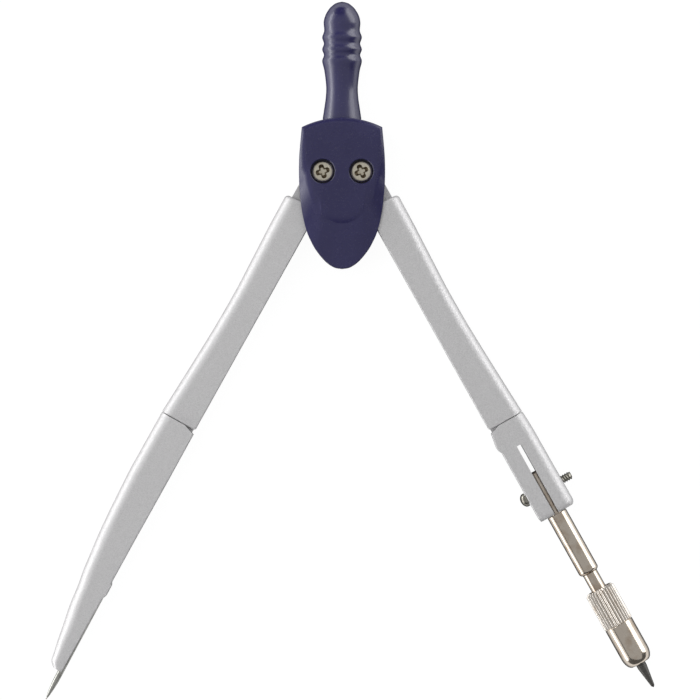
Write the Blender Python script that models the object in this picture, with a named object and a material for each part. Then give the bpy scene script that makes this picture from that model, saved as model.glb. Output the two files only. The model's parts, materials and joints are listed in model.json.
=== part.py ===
"""A self-centring drawing compass, lying flat on its back with its legs open.

X runs towards the pencil leg, Y towards the handle and Z out of the front face. The origin is midway
between the two leg pivots, on the flat back of the head, which the compass rests on.

Each leg turns on its own screw, and a sector of gear teeth on its root meshes with the other leg's, so
that the handle stays centred. Each leg bends inwards at a knee. One lower leg carries the needle, the
other clamps the lead holder in a split socket.

A leg is modelled in its own frame: x outwards from the line through its pivot, y up towards the pivot,
z from the middle of its thickness towards the front. Depths down a leg are measured from its pivot.
"""

import math

import bmesh
import bpy
from mathutils import Matrix, Vector

MM = 0.001

# Fits that several pieces share
OVERRUN = 1.0 * MM
SEAT = 0.1 * MM
RUNNING_FIT = 0.05 * MM
MERGE = 0.0001 * MM
ROUND_SEGMENTS = 28
SMALL_SEGMENTS = 16
CORNER_STEPS = 3
DOME_STEPS = 4
HEX_SIDES = 6
SHARP_ANGLE = math.radians(30)

# How the compass stands open
LEG_ANGLE = math.radians(29.2)
KNEE_BEND = math.radians(22.0)

# Head: two moulded covers on one seam
PIVOT_SPACING = 7.72 * MM
HEAD_HALF_WIDTH = 8.6 * MM
HEAD_TOP = 10.75 * MM
HEAD_SHOULDER_WIDTH = 8.05 * MM
HEAD_SHOULDER_DROP = 1.9 * MM
HEAD_BOTTOM = 19.4 * MM
COVER_THICKNESS = 5.15 * MM
COVER_EDGE_DROP = 1.15 * MM
COVER_SIDE_INSET = 0.95 * MM
COVER_TOP_INSET = 0.6 * MM
CREASE_TOP = 2.0 * MM
CREASE_BOTTOM = 10.3 * MM
BACK_CHAMFER = 0.5 * MM
TOP_STEPS = 5
SIDE_STEPS = 2
# Points down one side, from the shoulder to the tip: shares of the half width and of the depth below the
# pivots, where a depth above them is a share of HEAD_TOP
SIDE_ABOVE_SHARES = ((0.995, 0.28),)
SIDE_BELOW_SHARES = (
    (1.0, 0.09),
    (0.965, 0.30),
    (0.913, 0.455),
    (0.83, 0.605),
    (0.735, 0.706),
    (0.61, 0.805),
    (0.40, 0.918),
    (0.19, 0.983),
)
MID_HEIGHT = COVER_THICKNESS + SEAT / 2

# Space inside the head for the geared leg roots and, below them, for the thick legs
ROOT_THICKNESS = 2.6 * MM
WASHER_THICKNESS = 0.35 * MM
ROOT_ROOM_HEIGHT = ROOT_THICKNESS + 2 * WASHER_THICKNESS + 4 * RUNNING_FIT
ROOT_ROOM_HALF_WIDTH = 7.3 * MM
ROOT_ROOM_SIDE_TOP = 1.45 * MM
LEG_ROOM_CLEARANCE = 0.15 * MM
STOP_RIB_WIDTH = 1.0 * MM
STOP_RIB_TOP = 7.4 * MM
STOP_RIB_BOTTOM = 17.2 * MM

# Gear sectors on the leg roots
GEAR_TEETH = 12
GEAR_PRESSURE_ANGLE = math.radians(25.0)
GEAR_ADDENDUM_SHARE = 0.8
GEAR_DEDENDUM_SHARE = 1.1
GEAR_BACKLASH = 0.12 * MM
GEAR_FLANK_STEPS = 4
GEAR_RIGHT_TEETH = (-2, -1, 0, 1, 2)
GEAR_LEFT_TEETH = (-1.5, -0.5, 0.5, 1.5)
GEAR_TIP_ROOM = 0.4 * MM
ROOT_HALF_WIDTH = 2.92 * MM
ROOT_WEB_THICKNESS = 2.3 * MM

# Pivot screws, nuts, bushes and friction washers
SCREW_DIAMETER = 2.4 * MM
SCREW_HEAD_DIAMETER = 4.4 * MM
SCREW_HEAD_HEIGHT = 1.35 * MM
SCREW_CROWN_SHARE = 0.45
COUNTERBORE_DIAMETER = 4.9 * MM
COUNTERBORE_DEPTH = 1.7 * MM
CROSS_LENGTH = 2.7 * MM
CROSS_WIDTH = 0.62 * MM
CROSS_DEPTH = 0.7 * MM
CROSS_TURN = math.radians(17.0)
NUT_ACROSS_FLATS = 5.0 * MM
NUT_HEIGHT = 2.0 * MM
NUT_RECESS = 0.15 * MM
SCREW_END_RECESS = 0.5 * MM
BUSH_WALL = 0.45 * MM
WASHER_DIAMETER = 6.0 * MM

# Upper legs
LEG_INNER = 2.7 * MM
LEG_OUTER = 4.2 * MM
LEG_THICKNESS = 5.6 * MM
LEG_ROUND = 1.15 * MM
LEG_INNER_CHAMFER = 0.2 * MM
SHOULDER_DEPTH = 7.45 * MM
SHOULDER_ROUND = 0.8 * MM
KNEE_DEPTH = 57.6 * MM

# Knees: a round tongue on the lower leg, held in a slot of the upper leg by a blind pin
KNEE_GAP = 0.15 * MM
PIN_DIAMETER = 1.6 * MM
PIN_ABOVE_SEAM = 1.5 * MM
PIN_FROM_INNER_EDGE = 1.6 * MM
PIN_FRONT_WALL = 0.85 * MM
TONGUE_RADIUS = 4.2 * MM
TONGUE_THICKNESS = 1.9 * MM
TONGUE_EDGE_INSET = 0.3 * MM

# Lower legs
LOWER_THICKNESS = 6.2 * MM
LOWER_OUTER = 4.75 * MM
LOWER_INNER = 3.25 * MM
NEEDLE_LEG_LENGTH = 55.4 * MM
PENCIL_LEG_LENGTH = 21.2 * MM
# The share of LOWER_INNER that the pencil leg has at its clamp
CLAMP_SIDE_SHARE = 0.83
# Down each lower leg: shares of its length, of LOWER_OUTER, of LOWER_INNER and of its thickness
NEEDLE_LEG_SHARES = (
    (0.0, 0.92, 0.75, 1.0),
    (0.188, 0.99, 0.75, 1.0),
    (0.238, 0.965, 0.75, 1.0),
    (0.522, 0.77, 0.75, 1.0),
    (0.579, 0.707, 0.75, 1.0),
    (0.611, 0.663, 0.755, 1.0),
    (0.630, 0.632, 1.02, 1.0),
    (0.697, 0.49, 1.02, 0.99),
    (0.718, 0.455, 0.9, 0.98),
    (0.767, 0.375, 0.91, 0.96),
    (0.859, 0.206, 0.93, 0.92),
    (0.933, 0.034, 0.96, 0.88),
    (0.977, -0.06, 0.97, 0.84),
    (1.0, -0.27, 0.96, 0.76),
)
PENCIL_LEG_SHARES = (
    (0.0, 0.95, 0.8, 1.0),
    (0.1, 0.99, 0.9, 1.0),
    (0.19, 1.0, 0.985, 1.0),
    (0.225, 1.0, 0.95, 1.0),
    (0.25, 1.0, CLAMP_SIDE_SHARE, 1.0),
    (0.95, 1.0, CLAMP_SIDE_SHARE, 1.0),
    (0.985, 0.96, 0.82, 0.97),
    (1.0, 0.88, 0.79, 0.92),
)

# Needle and lead stand this far in front of the middle of the legs, so that the clamp screw passes behind
POINT_OFFSET = 0.7 * MM

# Needle and its set screw
NEEDLE_DIAMETER = 1.0 * MM
NEEDLE_STANDOUT = 6.5 * MM
NEEDLE_LENGTH = 31.0 * MM
NEEDLE_POINT_LENGTH = 5.5 * MM
NEEDLE_TIP_INWARD = 3.12 * MM
NEEDLE_SLANT = math.radians(1.1)
SET_SCREW_ABOVE_END = 18.7 * MM
SET_SCREW_INWARD = 2.35 * MM
SET_SCREW_DIAMETER = 1.4 * MM
SET_SCREW_RECESS = 0.15 * MM
SET_SCREW_SLOT_WIDTH = 0.35 * MM
SET_SCREW_SLOT_DEPTH = 0.5 * MM

# Split socket and its clamp screw
HOLDER_OUTWARD = 0.8 * MM
SLIT_WIDTH = 0.84 * MM
SLIT_LENGTH = 15.6 * MM
BORE_FIT = 0.1 * MM
CLAMP_ABOVE_END = 5.2 * MM
CLAMP_DIAMETER = 1.7 * MM
CLAMP_BEHIND = 1.6 * MM
CLAMP_HEAD_DIAMETER = 2.8 * MM
CLAMP_HEAD_HEIGHT = 1.35 * MM
CLAMP_HEAD_STANDOFF = 0.3 * MM
CLAMP_END_OUTWARD = 6.75 * MM
CLAMP_SLOT_WIDTH = 0.5 * MM
CLAMP_SLOT_DEPTH = 0.6 * MM

# Lead holder, its collet, nut and lead
SHANK_DIAMETER = 2.4 * MM
SHANK_LENGTH = 9.6 * MM
STEM_DIAMETER = 4.2 * MM
STEM_LENGTH = 13.6 * MM
STEM_ROUND = 0.7 * MM
NECK_DIAMETER = 2.8 * MM
NECK_LENGTH = 3.7 * MM
KNURL_LENGTH = 8.1 * MM
NOSE_LENGTH = 9.0 * MM
KNURL_DIAMETER = 5.6 * MM
KNURL_TEETH = 36
KNURL_CHAMFER = 0.5 * MM
NOSE_DIAMETER = 6.0 * MM
NOSE_ROUND = 2.2 * MM
NOSE_ROUND_INSET = 1.15 * MM
NOSE_LIP = 0.45 * MM
NOSE_HOLE_FIT = 0.25 * MM
NUT_THREAD_DIAMETER = 3.8 * MM
THREAD_FIT = 0.1 * MM
CHAMBER_DIAMETER = 4.2 * MM
LEAD_DIAMETER = 2.0 * MM
LEAD_FIT = 0.06 * MM
LEAD_STANDOUT = 5.5 * MM
LEAD_LENGTH = 23.0 * MM
LEAD_POINT_LENGTH = 5.2 * MM
LEAD_BORE_SPARE = 6.0 * MM
COLLET_LENGTH = 7.8 * MM
COLLET_BARREL_DIAMETER = 3.4 * MM
COLLET_HEAD_DIAMETER = 3.9 * MM
COLLET_HEAD_LENGTH = 1.2 * MM
COLLET_CONE_LENGTH = 1.8 * MM
COLLET_RING_LENGTH = 1.4 * MM
COLLET_SLIT_WIDTH = 0.3 * MM
COLLET_SLIT_TURNS = (math.radians(45.0), math.radians(135.0))

# Handle and the stud that holds it
HANDLE_START = HEAD_TOP + SEAT
HANDLE_LENGTH = 23.75 * MM
HANDLE_RADIUS = 3.98 * MM
HANDLE_STEPS = 2
HANDLE_SKIRT_DEPTH = 0.9 * MM
HANDLE_SKIRT_WALL = 0.7 * MM
# Up the handle: shares of its length and of its radius
HANDLE_SHARES = (
    (0.0, 0.97),
    (0.1, 0.88),
    (0.178, 0.819),
    (0.272, 0.799),
    (0.404, 0.889),
    (0.4875, 1.0),
    (0.54, 0.915),
    (0.5895, 1.0),
    (0.639, 0.915),
    (0.6925, 1.0),
    (0.7495, 0.885),
    (0.822, 0.932),
    (0.875, 0.86),
    (0.9285, 0.61),
    (0.975, 0.31),
    (1.0, 0.0),
)
STUD_DIAMETER = 2.9 * MM
STUD_LENGTH = 9.0 * MM
SPIGOT_DIAMETER = 4.4 * MM
SPIGOT_BOTTOM = 5.5 * MM
COLLAR_DIAMETER = 6.0 * MM
COLLAR_HEIGHT = 1.2 * MM
SOCKET_FIT = 0.08 * MM


def material(name, look):
    """A material from a look: its colour, its roughness and how metallic it is."""
    colour, roughness, metallic = look
    made = bpy.data.materials.new(name)
    made.use_nodes = True
    shader = made.node_tree.nodes["Principled BSDF"]
    shader.inputs["Base Color"].default_value = (*colour, 1.0)
    shader.inputs["Roughness"].default_value = roughness
    shader.inputs["Metallic"].default_value = metallic
    made.diffuse_color = (*colour, 1.0)
    return made


def place(name, bm, made_of, parent=None):
    """Turns a bmesh into a named object with its normals out, under the parent that carries it."""
    bmesh.ops.remove_doubles(bm, verts=bm.verts, dist=MERGE)
    bmesh.ops.recalc_face_normals(bm, faces=bm.faces)
    mesh = bpy.data.meshes.new(name)
    bm.to_mesh(mesh)
    bm.free()
    mesh.shade_smooth()
    mesh.set_sharp_from_angle(angle=SHARP_ANGLE)
    if made_of:
        mesh.materials.append(made_of)
    placed = bpy.data.objects.new(name, mesh)
    placed.parent = parent
    bpy.context.scene.collection.objects.link(placed)
    return placed


def combine(target, tool, operation):
    """Adds a Boolean modifier to the target. The tool is kept as a hidden guide."""
    tool.hide_render = True
    tool.display_type = "WIRE"
    change = target.modifiers.new(tool.name, "BOOLEAN")
    change.operation = operation
    change.solver = "EXACT"
    change.object = tool


def cut(target, *tools):
    for tool in tools:
        combine(target, tool, "DIFFERENCE")


def join(target, *tools):
    for tool in tools:
        combine(target, tool, "UNION")


def axis(name, location, parent=None, turn=0.0):
    """An empty on a joint's axis, which carries the pieces that move about it."""
    made = bpy.data.objects.new(name, None)
    made.parent = parent
    made.location = location
    made.rotation_euler.z = turn
    bpy.context.scene.collection.objects.link(made)
    return made


def smooth(points, steps):
    """A Catmull-Rom curve through the points."""
    ends = [2 * Vector(points[0]) - Vector(points[1])]
    ends += [Vector(point) for point in points]
    ends += [2 * ends[-1] - ends[-2]]
    curve = []
    for before, start, end, after in zip(ends, ends[1:], ends[2:], ends[3:]):
        for step in range(steps):
            t = step / steps
            curve.append(
                0.5
                * (
                    2 * start
                    + (end - before) * t
                    + (2 * before - 5 * start + 4 * end - after) * t**2
                    + (3 * start - before - 3 * end + after) * t**3
                )
            )
    curve.append(ends[-2])
    return curve


def loft(rings):
    """A closed solid through rings of as many points each."""
    bm = bmesh.new()
    loops = [[bm.verts.new(point) for point in ring] for ring in rings]
    count = len(loops[0])
    for low, high in zip(loops, loops[1:]):
        for i in range(count):
            j = (i + 1) % count
            bm.faces.new((low[i], low[j], high[j], high[i]))
    bm.faces.new(reversed(loops[0]))
    bm.faces.new(loops[-1])
    return bm


def prism(outline, bottom, top):
    """The outline, extruded from one height to another."""
    return loft([[(x, y, z) for x, y in outline] for z in (bottom, top)])


def box(low, high):
    outline = ((low[0], low[1]), (high[0], low[1]), (high[0], high[1]), (low[0], high[1]))
    return prism(outline, low[2], high[2])


def circle(radius, segments, centre=(0.0, 0.0), turn=0.0):
    angles = [turn + math.tau * i / segments for i in range(segments)]
    return [
        (centre[0] + radius * math.cos(angle), centre[1] + radius * math.sin(angle))
        for angle in angles
    ]


def hexagon(across_flats):
    return circle(across_flats / 2 / math.cos(math.pi / HEX_SIDES), HEX_SIDES)


def quarter_round(steps):
    """Points of a unit quarter circle, from (1, 0) to (0, 1)."""
    angles = [math.pi / 2 * i / steps for i in range(steps + 1)]
    return [(math.cos(angle), math.sin(angle)) for angle in angles]


def turned(profile, segments, closed=False):
    """Spins a profile of (radius, height) points about Z. A closed profile leaves a bore."""
    bm = bmesh.new()
    verts = [bm.verts.new((radius, 0.0, height)) for radius, height in profile]
    edges = [bm.edges.new(pair) for pair in zip(verts, verts[1:])]
    if closed:
        edges.append(bm.edges.new((verts[-1], verts[0])))
    bmesh.ops.spin(
        bm,
        geom=verts + edges,
        cent=(0.0, 0.0, 0.0),
        axis=(0.0, 0.0, 1.0),
        angle=math.tau,
        steps=segments,
        use_merge=True,
    )
    bmesh.ops.remove_doubles(bm, verts=bm.verts, dist=MERGE)
    return bm


def rod(radius, bottom, top, segments=SMALL_SEGMENTS):
    return prism(circle(radius, segments), bottom, top)


def aim(placed, location, direction):
    """Stands an object's own Z along a direction from a location."""
    turn = Vector(direction).to_track_quat("Z", "Y").to_matrix().to_4x4()
    placed.matrix_basis = Matrix.Translation(location) @ turn
    return placed


for old in list(bpy.data.objects):
    bpy.data.objects.remove(old, do_unlink=True)

# Looks: colour, roughness and how metallic
NAVY = ((0.022, 0.018, 0.075), 0.22, 0.0)
SILVER = ((0.48, 0.48, 0.49), 0.4, 0.6)
NICKEL = ((0.62, 0.58, 0.5), 0.2, 1.0)
BRASSY = ((0.6, 0.55, 0.4), 0.3, 1.0)
STEEL = ((0.45, 0.45, 0.44), 0.35, 1.0)
NYLON = ((0.75, 0.74, 0.7), 0.5, 0.0)
GRAPHITE = ((0.05, 0.05, 0.055), 0.45, 0.2)


# Head covers


def head_outline():
    """The head's outline, clockwise from the middle of its top."""
    sagitta = HEAD_SHOULDER_DROP
    arc_radius = (HEAD_SHOULDER_WIDTH**2 + sagitta**2) / (2 * sagitta)
    arc_half = math.asin(HEAD_SHOULDER_WIDTH / arc_radius)
    top = []
    for step in range(TOP_STEPS):
        angle = arc_half * step / TOP_STEPS
        top.append((arc_radius * math.sin(angle), HEAD_TOP - arc_radius * (1 - math.cos(angle))))
    side = [(HEAD_SHOULDER_WIDTH, HEAD_TOP - sagitta)]
    side += [(HEAD_HALF_WIDTH * x, HEAD_TOP * y) for x, y in SIDE_ABOVE_SHARES]
    side += [(HEAD_HALF_WIDTH * x, -HEAD_BOTTOM * y) for x, y in SIDE_BELOW_SHARES]
    side.append((0.0, -HEAD_BOTTOM))
    right = top + [tuple(point) for point in smooth(side, SIDE_STEPS)]
    left = [(-x, y) for x, y in reversed(right[1:-1])]
    return right + left


def crease(point):
    """Where a point of the outline meets the raised flat: inset, and drawn up below CREASE_TOP."""
    x, y = point
    x *= 1 - COVER_SIDE_INSET / HEAD_HALF_WIDTH
    if y > CREASE_TOP:
        return x, y - COVER_TOP_INSET * (y - CREASE_TOP) / (HEAD_TOP - CREASE_TOP)
    rise = (CREASE_BOTTOM + CREASE_TOP) / (HEAD_BOTTOM + CREASE_TOP)
    return x, CREASE_TOP - (CREASE_TOP - y) * rise


def room_for_roots(name):
    """Cuts the flat space in which the geared roots turn, open at both sides below the pivots."""
    wide = HEAD_HALF_WIDTH + OVERRUN
    top = gear_tip_radius() + GEAR_TIP_ROOM
    bottom = -SHOULDER_DEPTH - OVERRUN
    outline = (
        (-ROOT_ROOM_HALF_WIDTH, top),
        (-ROOT_ROOM_HALF_WIDTH, ROOT_ROOM_SIDE_TOP),
        (-wide, ROOT_ROOM_SIDE_TOP),
        (-wide, bottom),
        (wide, bottom),
        (wide, ROOT_ROOM_SIDE_TOP),
        (ROOT_ROOM_HALF_WIDTH, ROOT_ROOM_SIDE_TOP),
        (ROOT_ROOM_HALF_WIDTH, top),
    )
    half = ROOT_ROOM_HEIGHT / 2
    return place(name, prism(outline, MID_HEIGHT - half, MID_HEIGHT + half), None)


def room_for_legs(name):
    """Cuts the taller space below two arcs about the pivots, in which the thick legs swing."""
    radius = SHOULDER_DEPTH - LEG_ROOM_CLEARANCE
    wide = HEAD_HALF_WIDTH + OVERRUN
    centre = PIVOT_SPACING / 2
    start = -math.acos((wide - centre) / radius)
    end = -math.acos(-centre / radius)
    right = []
    for step in range(SMALL_SEGMENTS + 1):
        angle = start + (end - start) * step / SMALL_SEGMENTS
        right.append((centre + radius * math.cos(angle), radius * math.sin(angle)))
    left = [(-x, y) for x, y in reversed(right[:-1])]
    bottom = -HEAD_BOTTOM - OVERRUN
    outline = right + left + [(-wide, bottom), (wide, bottom)]
    half = LEG_THICKNESS / 2 + LEG_ROOM_CLEARANCE
    return place(name, prism(outline, MID_HEIGHT - half, MID_HEIGHT + half), None)


def socket_for_stud(name):
    """Cuts the seat of the handle's spigot and collar, half in each cover."""
    spigot = SPIGOT_DIAMETER / 2 + SOCKET_FIT
    collar = COLLAR_DIAMETER / 2 + SOCKET_FIT
    bottom = SPIGOT_BOTTOM - SOCKET_FIT
    step = SPIGOT_BOTTOM + COLLAR_HEIGHT + SOCKET_FIT
    top = HEAD_TOP + OVERRUN
    profile = ((0.0, bottom), (collar, bottom), (collar, step), (spigot, step), (spigot, top), (0.0, top))
    return aim(
        place(name, turned(profile, ROUND_SEGMENTS), None),
        (0.0, 0.0, MID_HEIGHT),
        (0.0, 1.0, 0.0),
    )


def head_covers(plastic):
    outline = head_outline()
    flat = [crease(point) for point in outline]
    face = MID_HEIGHT + SEAT / 2 + COVER_THICKNESS
    heights = (MID_HEIGHT + SEAT / 2, face - COVER_EDGE_DROP, face)
    rings = [[(x, y, z) for x, y in ring] for ring, z in zip((outline, outline, flat), heights)]
    front = place("head_front_cover", loft(rings), plastic)

    edge = 1 - BACK_CHAMFER / HEAD_HALF_WIDTH
    rim = [(x * edge, y * edge) for x, y in outline]
    heights = (0.0, BACK_CHAMFER, COVER_THICKNESS)
    rings = [[(x, y, z) for x, y in ring] for ring, z in zip((rim, outline, outline), heights)]
    back = place("head_back_cover", loft(rings), plastic)

    for cover in (front, back):
        tag = cover.name
        cut(cover, room_for_roots(tag + "_root_room"))
        cut(cover, room_for_legs(tag + "_leg_room"))
        cut(cover, socket_for_stud(tag + "_socket"))
        for side in (-1, 1):
            hole = rod(SCREW_DIAMETER / 2 + SEAT, -OVERRUN, face + OVERRUN)
            drilled = place(f"{tag}_screw_hole_{side}", hole, None)
            drilled.location.x = side * PIVOT_SPACING / 2
            cut(cover, drilled)
    for side in (-1, 1):
        bore = rod(COUNTERBORE_DIAMETER / 2, face - COUNTERBORE_DEPTH, face + OVERRUN, ROUND_SEGMENTS)
        sunk = place(f"counterbore_{side}", bore, None)
        sunk.location.x = side * PIVOT_SPACING / 2
        cut(front, sunk)
        sunk_hexagon = prism(hexagon(NUT_ACROSS_FLATS + 2 * SEAT), -OVERRUN, NUT_RECESS + NUT_HEIGHT + SEAT)
        pocket = place(f"nut_pocket_{side}", sunk_hexagon, None)
        pocket.location.x = side * PIVOT_SPACING / 2
        cut(back, pocket)
    half = LEG_THICKNESS / 2 + LEG_ROOM_CLEARANCE
    rib = box(
        (-STOP_RIB_WIDTH / 2, -STOP_RIB_BOTTOM, MID_HEIGHT - half - OVERRUN / 2),
        (STOP_RIB_WIDTH / 2, -STOP_RIB_TOP, MID_HEIGHT + half - SEAT),
    )
    join(back, place("stop_rib", rib, None))


# Pivot hardware


def pivot_hardware(side, tag, brass, steel, nylon):
    centre = side * PIVOT_SPACING / 2
    face = MID_HEIGHT + SEAT / 2 + COVER_THICKNESS
    seat = face - COUNTERBORE_DEPTH + RUNNING_FIT
    head = SCREW_HEAD_DIAMETER / 2
    crown = SCREW_HEAD_HEIGHT * SCREW_CROWN_SHARE
    shaft = SCREW_DIAMETER / 2
    profile = [(0.0, SCREW_END_RECESS), (shaft, SCREW_END_RECESS), (shaft, seat), (head, seat)]
    side_top = seat + SCREW_HEAD_HEIGHT - crown
    profile += [(head * across, side_top + crown * up) for across, up in quarter_round(DOME_STEPS)]
    screw = place(f"pivot_screw_{tag}", turned(profile, ROUND_SEGMENTS), brass)
    screw.location.x = centre
    top = seat + SCREW_HEAD_HEIGHT
    for turn in (0.0, math.pi / 2):
        groove = box(
            (-CROSS_LENGTH / 2, -CROSS_WIDTH / 2, top - CROSS_DEPTH),
            (CROSS_LENGTH / 2, CROSS_WIDTH / 2, top + OVERRUN),
        )
        cross = place(f"cross_{tag}_{round(math.degrees(turn))}", groove, None)
        cross.location.x = centre
        cross.rotation_euler.z = CROSS_TURN + turn
        cut(screw, cross)

    block = prism(hexagon(NUT_ACROSS_FLATS), NUT_RECESS, NUT_RECESS + NUT_HEIGHT)
    nut = place(f"pivot_nut_{tag}", block, steel)
    nut.location.x = centre
    tapping = rod(shaft + RUNNING_FIT, -OVERRUN, NUT_RECESS + NUT_HEIGHT + OVERRUN)
    hole = place(f"nut_hole_{tag}", tapping, None)
    hole.location.x = centre
    cut(nut, hole)

    room = ROOT_ROOM_HEIGHT / 2
    bore = shaft + RUNNING_FIT
    tube = bore + BUSH_WALL
    low = MID_HEIGHT - room + RUNNING_FIT
    high = MID_HEIGHT + room - RUNNING_FIT
    wall = turned([(bore, low), (tube, low), (tube, high), (bore, high)], ROUND_SEGMENTS, True)
    bush = place(f"pivot_bush_{tag}", wall, steel)
    bush.location.x = centre

    ring = tube + RUNNING_FIT
    rim = WASHER_DIAMETER / 2
    for where, bottom in (("back", low), ("front", high - WASHER_THICKNESS)):
        top = bottom + WASHER_THICKNESS
        flat = turned([(ring, bottom), (rim, bottom), (rim, top), (ring, top)], ROUND_SEGMENTS, True)
        washer = place(f"friction_washer_{tag}_{where}", flat, nylon)
        washer.location.x = centre


# Upper legs


def gear_tip_radius():
    pitch = PIVOT_SPACING / 2
    return pitch + GEAR_ADDENDUM_SHARE * PIVOT_SPACING / GEAR_TEETH


def gear_sector(teeth, mesh_direction):
    """The outline of a leg root: involute teeth about the mesh direction, and a plain hub elsewhere."""
    pitch = PIVOT_SPACING / 2
    module = PIVOT_SPACING / GEAR_TEETH
    base = pitch * math.cos(GEAR_PRESSURE_ANGLE)
    tip = gear_tip_radius()
    root = pitch - GEAR_DEDENDUM_SHARE * module
    step = math.tau / GEAR_TEETH
    half_at_pitch = step / 4 - GEAR_BACKLASH / 4 / pitch

    def involute(angle):
        return math.tan(angle) - angle

    def half_angle(radius):
        return half_at_pitch + involute(GEAR_PRESSURE_ANGLE) - involute(math.acos(base / radius))

    radii = [base + (tip - base) * i / GEAR_FLANK_STEPS for i in range(GEAR_FLANK_STEPS + 1)]
    flank = [(root, half_angle(base))] + [(radius, half_angle(radius)) for radius in radii]
    points = []
    for tooth in teeth:
        centre = mesh_direction + tooth * step
        points += [(radius, centre - half) for radius, half in flank]
        points += [(radius, centre + half) for radius, half in reversed(flank)]
    first = mesh_direction + (teeth[0] - 0.5) * step
    last = mesh_direction + (teeth[-1] + 0.5) * step
    points = [(root, first)] + points + [(root, last)]
    hub_span = math.tau - (last - first)
    for i in range(SMALL_SEGMENTS + 1):
        points.append((ROOT_HALF_WIDTH, last + hub_span * i / SMALL_SEGMENTS))
    return [(radius * math.cos(angle), radius * math.sin(angle)) for radius, angle in points]


def leg_section(depth, outer, inner, thickness, side, origin=(0.0, 0.0)):
    """One ring across a leg, rounded along its outer edges and lightly chamfered along its inner ones."""
    half = thickness / 2
    corner = min(LEG_ROUND, half, (outer + inner) / 2)
    chamfer = LEG_INNER_CHAMFER
    points = [(-inner, half - chamfer), (-inner + chamfer, half)]
    for across, up in reversed(quarter_round(CORNER_STEPS)):
        points.append((outer - corner * (1 - across), half - corner * (1 - up)))
    points += [(x, -z) for x, z in reversed(points)]
    return [(side * (x - origin[0]), -depth - origin[1], z) for x, z in points]


def upper_leg(side, tag, leg, knee, paint):
    sections = []
    for across, up in quarter_round(CORNER_STEPS):
        depth = SHOULDER_DEPTH + SHOULDER_ROUND * (1 - across)
        outer = LEG_OUTER - SHOULDER_ROUND * (1 - up)
        sections.append(leg_section(depth, outer, LEG_INNER, LEG_THICKNESS, side))
    sections.append(leg_section(KNEE_DEPTH, LEG_OUTER, LEG_INNER, LEG_THICKNESS, side))
    body = place(f"upper_leg_{tag}", loft(sections), paint, leg)
    half = LEG_THICKNESS / 2 + OVERRUN

    inner = -side * (LEG_INNER - LEG_INNER_CHAMFER)
    outer = side * ROOT_HALF_WIDTH
    web = box(
        (min(inner, outer), -SHOULDER_DEPTH - OVERRUN, -ROOT_WEB_THICKNESS / 2),
        (max(inner, outer), 0.0, ROOT_WEB_THICKNESS / 2),
    )
    join(body, place(f"root_web_{tag}", web, None, leg))
    mesh_direction = math.pi - LEG_ANGLE
    teeth = GEAR_RIGHT_TEETH if side > 0 else GEAR_LEFT_TEETH
    sector = [(side * x, y) for x, y in gear_sector(teeth, mesh_direction)]
    gear = prism(sector, -ROOT_THICKNESS / 2, ROOT_THICKNESS / 2)
    join(body, place(f"gear_{tag}", gear, None, leg))
    bush = SCREW_DIAMETER / 2 + RUNNING_FIT + BUSH_WALL
    cut(body, place(f"pivot_bore_{tag}", rod(bush + RUNNING_FIT, -half, half, ROUND_SEGMENTS), None, leg))

    room = TONGUE_THICKNESS / 2 + RUNNING_FIT
    slot = rod(TONGUE_RADIUS + KNEE_GAP, -room, room, 2 * ROUND_SEGMENTS)
    cut(body, place(f"knee_slot_{tag}", slot, None, knee))
    hole = rod(PIN_DIAMETER / 2 + RUNNING_FIT, -half, LEG_THICKNESS / 2 - PIN_FRONT_WALL + SEAT)
    cut(body, place(f"knee_hole_{tag}", hole, None, knee))
    return body


# Knees and lower legs


def knee_origin():
    """The knee pin's place in the upper leg's frame, for the right leg."""
    return Vector((PIN_FROM_INNER_EDGE - LEG_INNER, -(KNEE_DEPTH - PIN_ABOVE_SEAM), 0.0))


def knee_pin(tag, knee, steel):
    bottom = -LEG_THICKNESS / 2 + RUNNING_FIT
    top = LEG_THICKNESS / 2 - PIN_FRONT_WALL
    place(f"knee_pin_{tag}", rod(PIN_DIAMETER / 2, bottom, top), steel, knee)


def lower_leg(side, tag, knee, shares, length, paint):
    """A lower leg in the knee's frame, with its tongue and the relief that lets it bend inwards."""
    pin = knee_origin()
    top = KNEE_DEPTH + KNEE_GAP
    sections = [
        leg_section(
            top + (length - KNEE_GAP) * along,
            LOWER_OUTER * out,
            LOWER_INNER * inward,
            LOWER_THICKNESS * thick,
            side,
            pin,
        )
        for along, out, inward, thick in shares
    ]
    body = place(f"lower_leg_{tag}", loft(sections), paint, knee)
    wide = LOWER_OUTER + LOWER_INNER + OVERRUN
    deep = LOWER_THICKNESS / 2 + OVERRUN
    relief = box((-wide, -PIN_ABOVE_SEAM - KNEE_GAP, -deep), (wide, wide, deep))
    swung = place(f"knee_relief_{tag}", relief, None, knee)
    swung.rotation_euler.z = side * KNEE_BEND
    cut(body, swung)

    inner = -PIN_FROM_INNER_EDGE + TONGUE_EDGE_INSET
    disc = [(side * max(x, inner), y) for x, y in circle(TONGUE_RADIUS, 2 * ROUND_SEGMENTS)]
    outline = []
    for point in disc:
        if not outline or (Vector(point) - Vector(outline[-1])).length > MERGE:
            outline.append(point)
    tongue = prism(outline, -TONGUE_THICKNESS / 2, TONGUE_THICKNESS / 2)
    join(body, place(f"tongue_{tag}", tongue, None, knee))
    hole = rod(PIN_DIAMETER / 2 + RUNNING_FIT, -deep, deep)
    cut(body, place(f"tongue_hole_{tag}", hole, None, knee))
    return body


# Needle


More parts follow.
